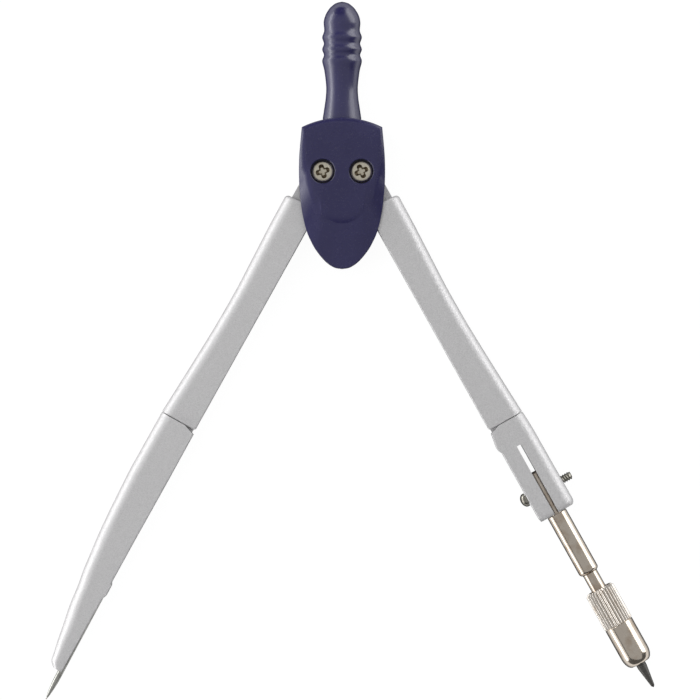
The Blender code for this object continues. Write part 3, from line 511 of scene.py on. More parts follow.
def bumps(tree, height, strength, depth):
    """How a face leans for light, from a pattern of heights."""
    inputs = {"Height": height, "Strength": strength, "Distance": depth}
    return node(tree, "ShaderNodeBump", inputs).outputs[0]


def surface(tree, settings):
    """Ends a material with its shader."""
    shader = node(tree, "ShaderNodeBsdfPrincipled", settings)
    node(tree, "ShaderNodeOutputMaterial", {"Surface": shader.outputs[0]})


def navy_plastic(name, navy, polish, roughness):
    """The navy moulding. Polish is the weight of the clear shine over it, where hands have rubbed it."""
    made, tree = empty_material(name)
    place = object_place(tree)
    worn = marks(tree, place, NAVY_WEAR)
    colour = blend_colours(tree, noise(tree, place, FLOW_SCALE), navy, toned(navy, FLOW_TONE))
    height = maths(tree, "SUBTRACT", noise(tree, place, PEEL_SCALE), worn["Scratches"])
    low, high = [share * roughness for share in NAVY_ROUGHNESS_SHARES]
    surface(tree, {
        "Base Color": blend_colours(tree, worn["Dust"], colour, DUST_GREY),
        "Coat Weight": polish,
        "Coat IOR": COAT_IOR,
        "Coat Roughness": COAT_ROUGHNESS_SHARE * roughness,
        "Roughness": ranged(tree, worn["Smears"], low, high),
        "Normal": bumps(tree, height, PEEL_STRENGTH, PEEL_DEPTH),
    })
    return made


NAVY_PLASTIC = navy_plastic("navy_plastic", NAVY, polish=0.0, roughness=0.24)


def head_outline():
    """The head's outline, clockwise from the middle of its top."""
    arc_radius = (HEAD_SHOULDER_WIDTH**2 + HEAD_SHOULDER_DROP**2) / (2 * HEAD_SHOULDER_DROP)
    arc_half = math.asin(HEAD_SHOULDER_WIDTH / arc_radius)
    right = []
    for step in range(HEAD_TOP_STEPS):
        angle = arc_half * step / HEAD_TOP_STEPS
        right.append((arc_radius * math.sin(angle), HEAD_TOP - arc_radius * (1 - math.cos(angle))))
    side = [(HEAD_SHOULDER_WIDTH, HEAD_TOP - HEAD_SHOULDER_DROP)]
    side += [(HEAD_HALF_WIDTH * x, reach * y) for x, y, reach in HEAD_SIDE_SHARES]
    side.append((0.0, -HEAD_BOTTOM))
    right += [tuple(point) for point in smooth_curve(side, HEAD_SIDE_STEPS)]
    left = [(-x, y) for x, y in reversed(right[1:-1])]
    return [Vector(point) for point in right + left]


def room_for_roots(name):
    """The flat space in which the geared roots turn, open at both sides below the pivots."""
    wide = HEAD_HALF_WIDTH + OVERRUN
    bottom = -LEG_ROOM_RADIUS - OVERRUN
    right = (
        (ROOT_ROOM_HALF_WIDTH, ROOT_ROOM_TOP),
        (ROOT_ROOM_HALF_WIDTH, ROOT_ROOM_SIDE_TOP),
        (wide, ROOT_ROOM_SIDE_TOP),
        (wide, bottom),
    )
    outline = right + tuple((-x, y) for x, y in reversed(right))
    return shape(name, prism(outline, PIVOT.z - ROOT_ROOM_HEIGHT / 2, PIVOT.z + ROOT_ROOM_HEIGHT / 2))


def room_for_legs(name):
    """The taller space below two arcs about the pivots, in which the thick legs swing."""
    wide = HEAD_HALF_WIDTH + OVERRUN
    start = -math.acos((wide - PIVOT.x) / LEG_ROOM_RADIUS)
    end = -math.acos(-PIVOT.x / LEG_ROOM_RADIUS)
    right = []
    for step in range(ROUND_SEGMENTS + 1):
        angle = start + (end - start) * step / ROUND_SEGMENTS
        right.append((PIVOT.x + LEG_ROOM_RADIUS * math.cos(angle), LEG_ROOM_RADIUS * math.sin(angle)))
    left = [(-x, y) for x, y in reversed(right[:-1])]
    bottom = -HEAD_BOTTOM - OVERRUN
    outline = right + left + [(-wide, bottom), (wide, bottom)]
    return shape(name, prism(outline, PIVOT.z - LEG_ROOM_HEIGHT / 2, PIVOT.z + LEG_ROOM_HEIGHT / 2))


ALONG_HANDLE = Matrix.Translation((0.0, 0.0, PIVOT.z)) @ Matrix.Rotation(-QUARTER_TURN, 4, "X")


def socket_for_stud(name):
    """The seat of the handle's spigot and collar, half in each cover."""
    spigot = SPIGOT_DIAMETER / 2 + SOCKET_FIT
    collar = COLLAR_DIAMETER / 2 + SOCKET_FIT
    bottom = SPIGOT_BOTTOM - SOCKET_FIT
    step = SPIGOT_BOTTOM + COLLAR_HEIGHT + SOCKET_FIT
    top = HEAD_TOP + OVERRUN
    profile = ((0.0, bottom), (collar, bottom), (collar, step), (spigot, step), (spigot, top), (0.0, top))
    return shape(name, turned(profile), ALONG_HANDLE)


def on_pivot(side):
    """A frame at the foot of a pivot's line, in the head's flat back."""
    return Matrix.Translation((side * PIVOT.x, 0.0, 0.0))


def drill(name, radius, bottom, top, side, lip=0.0):
    """A round cutter on a pivot's line, which opens out by the lip at its top."""
    flare = max(lip, MERGE)
    profile = ((0.0, bottom), (radius, bottom), (radius, top - flare), (radius + lip, top))
    profile += ((radius + lip, top + OVERRUN), (0.0, top + OVERRUN))
    return shape(name, turned(profile), on_pivot(side))


def hexagon(across_flats, reach=0.0):
    """The outline of a nut. Reach is how far from each corner its rounding begins."""
    radius = across_flats / 2 / math.cos(math.pi / HEX_SIDES)
    turns = [math.tau * i / HEX_SIDES for i in range(HEX_SIDES)]
    corners = [(radius * math.cos(turn), radius * math.sin(turn), reach) for turn in turns]
    return rounded(corners, SMALL_CORNER_STEPS)


def cut_rooms(cover, tag):
    """Cuts a cover's share of the rooms for roots and legs, of the stud's seat and of the screw holes."""
    cut(
        cover,
        room_for_roots(f"{tag}_root_room"),
        room_for_legs(f"{tag}_leg_room"),
        socket_for_stud(f"{tag}_socket"),
    )
    for side in (-1, 1):
        cut(cover, drill(f"{tag}_hole_{side}", SCREW_DIAMETER / 2 + SEAT, -OVERRUN, 2 * PIVOT.z, side))


def back_cover():
    outline = head_outline()
    profile = rounded(
        (
            (BACK_CHAMFER + SEAT, 0.0, 0.0),
            (0.0, 0.0, BACK_CHAMFER),
            (0.0, COVER_THICKNESS - SEAM_CHAMFER, 0.0),
            (SEAM_CHAMFER, COVER_THICKNESS, 0.0),
        )
    )
    rings = [[(x, y, height) for x, y in inset(outline, depth)] for depth, height in profile]
    cover = shape("moulded_back_cover", loft(rings))
    cut_rooms(cover, "back")
    for side in (-1, 1):
        pocket = prism(hexagon(NUT_ACROSS_FLATS + 2 * SEAT), -OVERRUN, NUT_RECESS + NUT_HEIGHT + SEAT)
        cut(cover, shape(f"nut_pocket_{side}", pocket, on_pivot(side)))
    width, top, bottom = STOP_RIB
    low = (-width / 2, bottom, PIVOT.z - LEG_ROOM_HEIGHT / 2 - OVERRUN / 2)
    join(cover, shape("stop_rib", box(low, (width / 2, top, PIVOT.z + LEG_ROOM_HEIGHT / 2 - SEAT))))
    stand_for(settle(cover, NAVY_PLASTIC), "head_back_cover")


back_cover()

# The pivot nuts: hexagon nuts of zinc-plated steel, pressed into pockets in the back cover. Each takes the
# end of a pivot screw.

SIDE_NAMES = {1: "right", -1: "left"}
NUT_CHAMFER = 0.2 * MM
ZINC = (0.5, 0.5, 0.49)
ZINC_STAIN = (0.36, 0.35, 0.33)
PLATE_WEAR = (0.5, 0.15)
PLATE_ROUGHNESS_SHARES = (0.7, 1.3)
# A lathe's marks: how many to the metre, and how strong and deep they are
TURNING_PITCH = 20000.0
TURNING_STRENGTH = 0.3
TURNING_DEPTH = 0.01 * MM
STAIN_SCALE = 420.0
STAIN_LIMITS = (0.5, 0.75)
SCRATCH_TONE = 1.15


def turning_marks():
    """The fine rings that a lathe tool leaves, as heights along the work's axis."""
    tree, given, result = effect(
        "turning_marks",
        {"Along": "NodeSocketFloat", "Pitch": "NodeSocketFloat"},
        {"Height": "NodeSocketFloat"},
    )
    turns = maths(tree, "MULTIPLY", given.outputs["Along"], given.outputs["Pitch"])
    inputs = {"W": turns, "Scale": 1.0, "Detail": 3.0}
    rings = node(tree, "ShaderNodeTexNoise", inputs, noise_dimensions="1D")
    tree.links.new(rings.outputs[0], result.inputs["Height"])
    return tree


TURNING_MARKS = turning_marks()


def plated(name, colour, stain, roughness, depth=TURNING_DEPTH):
    """A turned and plated metal. The stain is its tarnish, which gathers in faint clouds."""
    made, tree = empty_material(name)
    place = object_place(tree)
    worn = marks(tree, place, PLATE_WEAR)
    along = node(tree, "ShaderNodeSeparateXYZ", {"Vector": place}).outputs["Z"]
    inputs = {"Along": along, "Pitch": TURNING_PITCH}
    rings = node(tree, "ShaderNodeGroup", inputs, node_tree=TURNING_MARKS)
    cloud = mask(tree, noise(tree, place, STAIN_SCALE, detail=4.0), *STAIN_LIMITS)
    tone = blend_colours(tree, cloud, colour, stain)
    height = maths(tree, "SUBTRACT", rings.outputs["Height"], worn["Scratches"])
    low, high = [share * roughness for share in PLATE_ROUGHNESS_SHARES]
    surface(tree, {
        "Base Color": blend_colours(tree, worn["Scratches"], tone, toned(colour, SCRATCH_TONE)),
        "Metallic": 1.0,
        "Roughness": ranged(tree, worn["Smears"], low, high),
        "Normal": bumps(tree, height, TURNING_STRENGTH, depth),
    })
    return made


ZINC_PLATE = plated("zinc_plated_steel", ZINC, ZINC_STAIN, roughness=0.34)


def pivot_nut(side):
    tag = SIDE_NAMES[side]
    at = on_pivot(side)
    block = prism(hexagon(NUT_ACROSS_FLATS, NUT_CHAMFER), NUT_RECESS, NUT_RECESS + NUT_HEIGHT)
    nut = shape(f"hexagon_nut_{tag}", block, at)
    bore = SCREW_DIAMETER / 2 + RUNNING_FIT
    wide = NUT_ACROSS_FLATS
    low = NUT_RECESS
    profile = (
        (0.0, low - OVERRUN),
        (bore + NUT_CHAMFER, low - OVERRUN),
        (bore + NUT_CHAMFER, low),
        (bore, low + NUT_CHAMFER),
        (bore, low + NUT_HEIGHT + OVERRUN),
        (0.0, low + NUT_HEIGHT + OVERRUN),
    )
    cut(nut, shape(f"nut_hole_{tag}", turned(profile), at))
    corner = NUT_ACROSS_FLATS / 2
    profile = (
        (corner, low - OVERRUN),
        (corner, low),
        (corner + 2 * NUT_CHAMFER, low + NUT_CHAMFER),
        (wide, low + NUT_CHAMFER),
        (wide, low - OVERRUN),
    )
    cut(nut, shape(f"nut_crown_{tag}", turned(profile, closed=True), at))
    stand_for(settle(nut, ZINC_PLATE), f"pivot_nut_{tag}")


for side in (-1, 1):
    pivot_nut(side)

# The bushes and friction washers: a steel tube round each pivot screw keeps the covers apart, and a nylon
# washer on each face of a leg's root makes the leg stay where it is put.

NYLON = (0.75, 0.74, 0.7)
NYLON_TONE = 0.9
NYLON_ROUGHNESS = (0.4, 0.6)
NYLON_GRAIN_SCALE = 3000.0
NYLON_GRAIN_STRENGTH = 0.2
NYLON_GRAIN_DEPTH = 0.02 * MM


def nylon():
    """Natural nylon, whose grain shows in its colour, its gloss and its skin."""
    made, tree = empty_material("natural_nylon")
    grain = noise(tree, object_place(tree), NYLON_GRAIN_SCALE)
    surface(tree, {
        "Base Color": blend_colours(tree, grain, toned(NYLON, NYLON_TONE), NYLON),
        "Roughness": ranged(tree, grain, *NYLON_ROUGHNESS),
        "Normal": bumps(tree, grain, NYLON_GRAIN_STRENGTH, NYLON_GRAIN_DEPTH),
    })
    return made


def dress(name, look):
    """Gives a solid of the frame its finish, where its own shape is shown."""
    solid = frame["nodes"][name]
    solid.data.materials.clear()
    solid.data.materials.append(look)


NATURAL_NYLON = nylon()
for side in SIDE_NAMES.values():
    dress(f"pivot_bush_{side}", ZINC_PLATE)
    for face in ("back", "front"):
        dress(f"friction_washer_{side}_{face}", NATURAL_NYLON)

# The upper legs: zinc castings sprayed with silver paint, each with a flat geared root between the covers,
# a long bar with softly rounded outer edges, and a slot and pin hole for the knee.

DOWN_LEG = Vector(JOINTS["holder_slide"]["axis"])
LEG_ANGLE = math.atan2(DOWN_LEG.x, -DOWN_LEG.y)
GEAR_TEETH = 12
GEAR_PRESSURE_ANGLE = math.radians(25.0)
GEAR_ADDENDUM_SHARE = 0.8
GEAR_DEDENDUM_SHARE = 1.1
GEAR_BACKLASH = 0.12 * MM
GEAR_FLANK_STEPS = 6
# The teeth of each root, counted from the line between the pivots
GEAR_TOOTH_NUMBERS = {1: (-2, -1, 0, 1, 2), -1: (-1.5, -0.5, 0.5, 1.5)}
ROOT_HALF_WIDTH = 2.92 * MM
ROOT_THICKNESS = 2.6 * MM
ROOT_WEB_THICKNESS = 2.3 * MM
BUSH_WALL = 0.45 * MM
LEG_INNER = 2.9 * MM
# Down an upper leg: depths and how far out its outer edge is
LEG_OUTER = (
    (8.25 * MM, 4.2 * MM),
    (14.0 * MM, 4.12 * MM),
    (20.0 * MM, 3.94 * MM),
    (30.0 * MM, 3.66 * MM),
    (36.0 * MM, 3.72 * MM),
    (43.0 * MM, 3.98 * MM),
    (50.0 * MM, 4.32 * MM),
    (57.6 * MM, 4.72 * MM),
)
LEG_THICKNESS = 5.6 * MM
LEG_ROUND = 2.3 * MM
LEG_INNER_ROUND = 0.2 * MM
# A rounding takes up at most this share of a leg's half thickness
LEG_ROUND_LIMIT_SHARE = 0.9
LEG_CORNER_STEPS = 8
LEG_END_ROUND = 0.15 * MM
SHOULDER_ROUND = 0.8 * MM
SHOULDER_STEPS = 6
KNEE_DEPTH = LEG_OUTER[-1][0]
LEG_STEPS = 5
KNEE_GAP = 0.15 * MM
KNEE_PIN_DIAMETER = 1.6 * MM
KNEE_PIN_FRONT_WALL = 0.85 * MM
KNEE_PIN_FROM_EDGE = 1.8 * MM
KNEE_PIN_ABOVE_SEAM = 1.5 * MM
TONGUE_RADIUS = 4.2 * MM
TONGUE_THICKNESS = 1.9 * MM
SILVER = (0.635, 0.63, 0.636)
SILVER_WEAR = (0.5, 0.2)
SILVER_METAL_SHARE = 0.6
SILVER_ROUGHNESS = (0.46, 0.58)
# The metal flakes in the paint: how fine they are, their darkest and lightest tones and how far they lean
FLAKE_SCALE = 9000.0
FLAKE_TONES = (0.88, 1.12)
FLAKE_LEAN = 0.14
MIDDLE = (0.5, 0.5, 0.5)
LUMP_SCALE = 420.0
LUMP_STRENGTH = 0.25
LUMP_DEPTH = 0.05 * MM


def silver_paint():
    """Sprayed paint over a casting's low lumps, with flakes that lean this way and that."""
    made, tree = empty_material("silver_paint")
    place = object_place(tree)
    worn = marks(tree, place, SILVER_WEAR)
    flakes = node(tree, "ShaderNodeTexVoronoi", {"Vector": place, "Scale": FLAKE_SCALE}).outputs["Color"]
    tone = node(tree, "ShaderNodeSeparateColor", {"Color": flakes})
    dull, bright = [toned(SILVER, share) for share in FLAKE_TONES]
    centred = vector_maths(tree, "SUBTRACT", {0: flakes, 1: MIDDLE})
    lean = vector_maths(tree, "SCALE", {0: centred, "Scale": FLAKE_LEAN})
    skin = bumps(tree, noise(tree, place, LUMP_SCALE), LUMP_STRENGTH, LUMP_DEPTH)
    leant = vector_maths(tree, "ADD", {0: skin, 1: lean})
    surface(tree, {
        "Base Color": blend_colours(tree, tone.outputs[0], dull, bright),
        "Metallic": SILVER_METAL_SHARE,
        "Roughness": ranged(tree, worn["Smears"], *SILVER_ROUGHNESS),
        "Normal": vector_maths(tree, "NORMALIZE", {0: leant}),
    })
    return made


SILVER_PAINT = silver_paint()


def leg_matrix(side):
    """From a leg's own frame, with x outwards and y up to the pivot, to the compass lying open."""
    pivot = Matrix.Translation((side * PIVOT.x, 0.0, PIVOT.z))
    turn = Matrix.Rotation(side * LEG_ANGLE, 4, "Z")
    return pivot @ turn @ Matrix.Diagonal((side, 1.0, 1.0, 1.0))


def knee_matrix(side):
    """The same, with its origin on the knee's pin."""
    pin = (KNEE_PIN_FROM_EDGE - LEG_INNER, KNEE_PIN_ABOVE_SEAM - KNEE_DEPTH, 0.0)
    return leg_matrix(side) @ Matrix.Translation(pin)


def in_between(rows, steps):
    """Rows between those given, by their first number, which turn softly and never swing past them."""
    runs = [[later - here for here, later in zip(row, following)] for row, following in zip(rows, rows[1:])]
    slopes = [[rise / run[0] for rise in run] for run in runs]
    bends = [slopes[0]]
    for before, after in zip(slopes, slopes[1:]):
        bends.append([2 * a * b / (a + b) if a * b > 0 else 0.0 for a, b in zip(before, after)])
    bends.append(slopes[-1])
    made = []
    for row, run, start, end in zip(rows, runs, bends, bends[1:]):
        for step in range(steps):
            t = step / steps
            line = []
            for value, rise, out, back in zip(row, run, start, end):
                turn = out * t * (1 - t) ** 2 - back * t**2 * (1 - t)
                line.append(value + rise * t**2 * (3 - 2 * t) + run[0] * turn)
            made.append(line)
    made.append(rows[-1])
    return made


def leg_ring(depth, outer, inner, thickness, shrink=0.0):
    """One ring across a leg, with its outer edges well rounded and its inner ones lightly."""
    half = thickness / 2 - shrink
    outer -= shrink
    inner -= shrink
    limit = LEG_ROUND_LIMIT_SHARE * half
    soft = min(LEG_ROUND, limit, (outer + inner) / 2)
    crisp = min(LEG_INNER_ROUND, limit)
    corners = ((-inner, half, crisp), (outer, half, soft), (outer, -half, soft), (-inner, -half, crisp))
    return [(x, -depth, z) for x, z in rounded(corners, LEG_CORNER_STEPS)]


def gear_sector(teeth, mesh_direction):
    """The outline of a leg root: involute teeth about the mesh direction, and a plain hub elsewhere."""
    pitch = PIVOT.x
    module = 2 * PIVOT.x / GEAR_TEETH
    base = pitch * math.cos(GEAR_PRESSURE_ANGLE)
    tip = pitch + GEAR_ADDENDUM_SHARE * module
    root = pitch - GEAR_DEDENDUM_SHARE * module
    step = math.tau / GEAR_TEETH
    half_at_pitch = step / 4 - GEAR_BACKLASH / 4 / pitch

    def involute(angle):
        return math.tan(angle) - angle

    def half_angle(radius):
        return half_at_pitch + involute(GEAR_PRESSURE_ANGLE) - involute(math.acos(base / radius))

    radii = [base + (tip - base) * i / GEAR_FLANK_STEPS for i in range(GEAR_FLANK_STEPS + 1)]
    flank = [(root, half_angle(base))] + [(radius, half_angle(radius)) for radius in radii]
    first = mesh_direction + (teeth[0] - 0.5) * step
    last = mesh_direction + (teeth[-1] + 0.5) * step
    points = [(root, first)]
    for tooth in teeth:
        centre = mesh_direction + tooth * step
        points += [(radius, centre - half) for radius, half in flank]
        points += [(radius, centre + half) for radius, half in reversed(flank)]
    points.append((root, last))
    hub_span = math.tau - (last - first)
    for i in range(ROUND_SEGMENTS + 1):
        points.append((ROOT_HALF_WIDTH, last + hub_span * i / ROUND_SEGMENTS))
    return [(radius * math.cos(angle), radius * math.sin(angle)) for radius, angle in points]


def quarter(steps):
    """The cosine and the sine at each step round a quarter of a circle."""
    angles = [QUARTER_TURN * step / steps for step in range(steps + 1)]
    return [(math.cos(angle), math.sin(angle)) for angle in angles]


def upper_leg(side):
    tag = SIDE_NAMES[side]
    leg = leg_matrix(side)
    knee = knee_matrix(side)
    start, outer = LEG_OUTER[0]
    rows = []
    for cosine, sine in quarter(SHOULDER_STEPS)[:-1]:
        rows.append((start - SHOULDER_ROUND * cosine, outer - SHOULDER_ROUND * (1 - sine)))
    rows += in_between(LEG_OUTER, LEG_STEPS)[:-1]
    end = LEG_OUTER[-1][1]
    rows.append((KNEE_DEPTH - LEG_END_ROUND, end))
    rings = [leg_ring(depth, outer, LEG_INNER, LEG_THICKNESS) for depth, outer in rows]
    rings.append(leg_ring(KNEE_DEPTH, end, LEG_INNER, LEG_THICKNESS, LEG_END_ROUND / 2))
    body = shape(f"painted_upper_leg_{tag}", loft(rings), leg)

    web = box(
        (LEG_INNER_ROUND - LEG_INNER, -start, -ROOT_WEB_THICKNESS / 2),
        (ROOT_HALF_WIDTH, 0.0, ROOT_WEB_THICKNESS / 2),
    )
    sector = gear_sector(GEAR_TOOTH_NUMBERS[side], math.pi - LEG_ANGLE)
    gear = prism(sector, -ROOT_THICKNESS / 2, ROOT_THICKNESS / 2)
    join(body, shape(f"root_web_{tag}", web, leg), shape(f"gear_{tag}", gear, leg))

    bush = SCREW_DIAMETER / 2 + 2 * RUNNING_FIT + BUSH_WALL
    half = LEG_THICKNESS / 2 + OVERRUN
    room = TONGUE_THICKNESS / 2 + RUNNING_FIT
    hole_top = LEG_THICKNESS / 2 - KNEE_PIN_FRONT_WALL + SEAT
    cut(
        body,
        shape(f"pivot_bore_{tag}", rod(bush, -half, half), leg),
        shape(f"knee_slot_{tag}", rod(TONGUE_RADIUS + KNEE_GAP, -room, room), knee),
        shape(f"knee_hole_{tag}", rod(KNEE_PIN_DIAMETER / 2 + RUNNING_FIT, -half, hole_top), knee),
    )
    stand_for(settle(body, SILVER_PAINT), f"upper_leg_{tag}")


for side in (-1, 1):
    upper_leg(side)

# The handle's stud: turned steel with a collar, which the two covers hold between them. The handle screws
# onto its upper end.

STUD_DIAMETER = 2.9 * MM
STUD_LENGTH = 9.0 * MM
dress("handle_stud", ZINC_PLATE)

# The head's front cover: the navy moulding that the photograph shows, with a raised flat that ends below in
# a soft crease, and two counterbores. The legs' roots turn in the space behind it.

# How far the rim lies below the flat, at least and at most
COVER_EDGE_DROP = (0.6 * MM, 1.9 * MM)
# How steeply its sides fall
FACET_SLOPE = 0.85
COVER_TOP_INSET = 0.6 * MM
COVER_SIDE_SHARE = 0.95
# The crease round the flat: where its sides begin, how low it ends, and the radius of its lower arc
CREASE_TOP = 2.0 * MM
CREASE_BOTTOM = 10.4 * MM
CREASE_ARC = 6.0 * MM
CREASE_HALF_WIDTH = 7.75 * MM
# How far its sides lean inwards on their way down, from what height and how softly they begin to
CREASE_LEAN = 0.35
CREASE_BEND = (1.2 * MM, 2.0 * MM)
RIM_REACH = 0.12 * MM
# The soft step up to the flat, beside the head and below it: how high and how wide
SIDE_STEP = (0.02 * MM, 1.8 * MM)
LOW_STEP = (0.8 * MM, 1.5 * MM)
LOW_STEP_HALF_WIDTH = 6.0 * MM
# How far from the foot and the top of that step its roundings begin
SIDE_SOFTNESS = 1.3 * MM
SIDE_SOFTNESS_SHARE = 0.8
STEP_REACH_SHARE = 0.9
# No corner is quite sharp, so that each cross-section has as many points
LEAST_REACH = 0.01 * MM
COVER_CORNER_STEPS = 8
COUNTERBORE_DIAMETER = 4.9 * MM
COUNTERBORE_DEPTH = 1.7 * MM
COUNTERBORE_LIP = 0.12 * MM


def crease(point):
    """Where the slope from a point of the outline meets the soft step up to the flat."""
    if point.y > CREASE_TOP:
        y = point.y - COVER_TOP_INSET * (point.y - CREASE_TOP) / (HEAD_TOP - CREASE_TOP)
    else:
        y = CREASE_TOP - (CREASE_TOP - point.y) * (CREASE_BOTTOM + CREASE_TOP) / (HEAD_BOTTOM + CREASE_TOP)
    bend, softness = CREASE_BEND
    side = CREASE_HALF_WIDTH - CREASE_LEAN * (bend - y + math.hypot(bend - y, softness)) / 2
    centre = CREASE_ARC - CREASE_BOTTOM
    reach = min(COVER_SIDE_SHARE * abs(point.x), side)
    if y < centre:
        reach = min(reach, math.sqrt(max(0.0, CREASE_ARC**2 - (y - centre) ** 2)))
    return Vector((math.copysign(reach, point.x), y))


def front_cover():
    seam = PIVOT.z + SEAT / 2
    face = seam + COVER_THICKNESS
    outline = head_outline()
    least_drop, most_drop = COVER_EDGE_DROP
    columns = []
    for edge, start in zip(outline, inset(outline, SEAM_CHAMFER)):
        top = crease(edge)
        inwards = (top - edge).normalized()
        slope = (top - edge).length
        low = max(1 - (top.x / LOW_STEP_HALF_WIDTH) ** 2, 0.0) if edge.y < 0 else 0.0
        drop = min(max(least_drop, FACET_SLOPE * slope), most_drop)
        rise, run = [side + (bottom - side) * low for side, bottom in zip(SIDE_STEP, LOW_STEP)]
        turn = (1 - low) * min(SIDE_SOFTNESS, SIDE_SOFTNESS_SHARE * slope)
        soft = max(low * STEP_REACH_SHARE * math.hypot(rise, run), LEAST_REACH)
        flat = slope + run
        profile = rounded(
            (
                (0.0, seam + SEAM_CHAMFER, 0.0),
                (0.0, face - drop, RIM_REACH),
                (slope, face - rise, max(turn, LEAST_REACH)),
                (flat, face, soft),
                (flat + soft + SEAT, face, 0.0),
                (flat + soft + 2 * SEAT, face, 0.0),
            ),
            COVER_CORNER_STEPS,
        )
        column = [(start.x, start.y, seam)]
        for across, height in profile:
            place = edge + inwards * across
            column.append((place.x, place.y, height))
        columns.append(column)
    cover = shape("moulded_front_cover", loft([list(ring) for ring in zip(*columns)]))
    cut_rooms(cover, "front")
    radius = COUNTERBORE_DIAMETER / 2
    floor = face - COUNTERBORE_DEPTH
    for side in (-1, 1):
        cut(cover, drill(f"counterbore_{side}", radius, floor, face, side, COUNTERBORE_LIP))
    stand_for(settle(cover, NAVY_PLASTIC), "head_front_cover")


front_cover()

# The pivot screws: round-head screws with a warm, brassy nickel plate and a driven cross with some grime and
# painted shade in it, which pass through the covers, the bushes and the leg roots into the nuts.

SCREW_HEAD_DIAMETER = 4.4 * MM
SCREW_HEAD_HEIGHT = 1.35 * MM
SCREW_CROWN_SHARE = 0.5
SCREW_END_RECESS = 0.5 * MM
SCREW_END_CHAMFER = 0.25 * MM
DOME_STEPS = 14
CROSS_ARMS = 4
CROSS_LENGTH = 3.15 * MM
CROSS_WIDTH = 1.1 * MM
CROSS_DEPTH = 1.0 * MM
CROSS_FLOOR_SHARE = 0.5
# The rounding of the cross between its arms and at their ends, as shares of its width
CROSS_CORNER_SHARES = (0.12, 0.42)
CROSS_TURNS = {-1: math.radians(17.0), 1: math.radians(24.0)}
# Grime and painted shade stay on the faces of the cross that lean further than this height of their normal
GRIME_AND_SHADE_STEEPNESS = 0.9
BRASSY_NICKEL = (0.75, 0.7, 0.58)
BRASSY_STAIN = (0.42, 0.33, 0.2)
# A darker plate for the cross's walls: brown grime, and painted shade of the recess
GRIME_AND_SHADE = (0.3, 0.25, 0.18)
GRIME_AND_SHADE_STAIN = (0.1, 0.08, 0.05)
SCREW_PLATE = plated("brassy_nickel_plate", BRASSY_NICKEL, BRASSY_STAIN, roughness=0.3)
GRIME_AND_SHADE_PLATE = plated("grime_and_painted_shade_in_the_cross", GRIME_AND_SHADE, GRIME_AND_SHADE_STAIN, roughness=0.4)


def cross_outline(length, width):
    """The outline of a cross with arms of that length from end to end, rounded at their ends."""
    long, half = length / 2, width / 2
    inner, outer = [share * width for share in CROSS_CORNER_SHARES]
    corners = []
    for arm in range(CROSS_ARMS):
        turn = Matrix.Rotation(QUARTER_TURN * arm, 2)
        for x, y, reach in ((half, -half, inner), (long, -half, outer), (long, half, outer)):
            corner = turn @ Vector((x, y))
            corners.append((corner.x, corner.y, reach))
    return rounded(corners, SMALL_CORNER_STEPS)


def pivot_screw(side):
    tag = SIDE_NAMES[side]
    seat = PIVOT.z + SEAT / 2 + COVER_THICKNESS - COUNTERBORE_DEPTH + RUNNING_FIT
    head = SCREW_HEAD_DIAMETER / 2
    shaft = SCREW_DIAMETER / 2
    crown = SCREW_HEAD_HEIGHT * SCREW_CROWN_SHARE
    top = seat + SCREW_HEAD_HEIGHT
    rim = top - crown
    profile = [(0.0, SCREW_END_RECESS), (shaft - SCREW_END_CHAMFER, SCREW_END_RECESS)]
    profile += [(shaft, SCREW_END_RECESS + SCREW_END_CHAMFER), (shaft, seat), (head, seat)]
    profile += [(head * cosine, rim + crown * sine) for cosine, sine in quarter(DOME_STEPS)[:-1]]
    profile.append((0.0, top))
    at = on_pivot(side)
    screw = shape(f"plated_pivot_screw_{tag}", turned(profile), at)
    wide = cross_outline(CROSS_LENGTH, CROSS_WIDTH)
    floor = cross_outline(CROSS_LENGTH * CROSS_FLOOR_SHARE, CROSS_WIDTH * CROSS_FLOOR_SHARE)
    levels = ((floor, top - CROSS_DEPTH), (wide, top), (wide, top + OVERRUN))
    rings = [[(x, y, height) for x, y in outline] for outline, height in levels]
    cut(screw, shape(f"cross_{tag}", loft(rings), at @ Matrix.Rotation(CROSS_TURNS[side], 4, "Z")))
    settle(screw, SCREW_PLATE)
    # Painted shade with grime: the steep walls of the cross take the darker plate
    screw.data.materials.append(GRIME_AND_SHADE_PLATE)
    for face in screw.data.polygons:
        reach = math.hypot(face.center.x, face.center.y)
        dome = rim + crown * math.sqrt(max(0.0, 1 - (reach / head) ** 2))
        deep = rim - CROSS_DEPTH < face.center.z < dome - SEAT / 2
        if reach < CROSS_LENGTH / 2 and deep and face.normal.z < GRIME_AND_SHADE_STEEPNESS:
            face.material_index = 1
    stand_for(screw, f"pivot_screw_{tag}")


for side in (-1, 1):
    pivot_screw(side)

# The handle: a knob of the same navy plastic, turned smooth with three rings for the fingers. It screws
# onto the steel stud that stands out of the head.

HANDLE_NAVY = (0.004, 0.002, 0.05)
POLISHED_NAVY = navy_plastic("polished_navy_plastic", HANDLE_NAVY, polish=0.85, roughness=0.38)
HANDLE_SEAT = HEAD_TOP + SEAT
HANDLE_LENGTH = 23.35 * MM
HANDLE_RADIUS = 3.98 * MM
HANDLE_SEGMENTS = 96
HANDLE_STEPS = 7
HANDLE_SKIRT_DEPTH = 0.9 * MM
HANDLE_LIP = 0.3 * MM
HANDLE_SKIRT_WALL = 0.7 * MM
# Up the handle: shares of its length and of its radius
HANDLE_SHARES = (
    (0.0, 0.97),
    (0.1, 0.88),
    (0.178, 0.819),
    (0.272, 0.799),
    (0.404, 0.889),
    (0.4875, 1.0),
    (0.54, 0.915),
    (0.5895, 1.0),
    (0.639, 0.915),
    (0.6925, 1.0),
    (0.7495, 0.9),
    (0.821, 0.925),
    (0.88, 0.845),
    (0.934, 0.665),
    (0.961, 0.515),
    (0.987, 0.3),
    (1.0, 0.0),
)


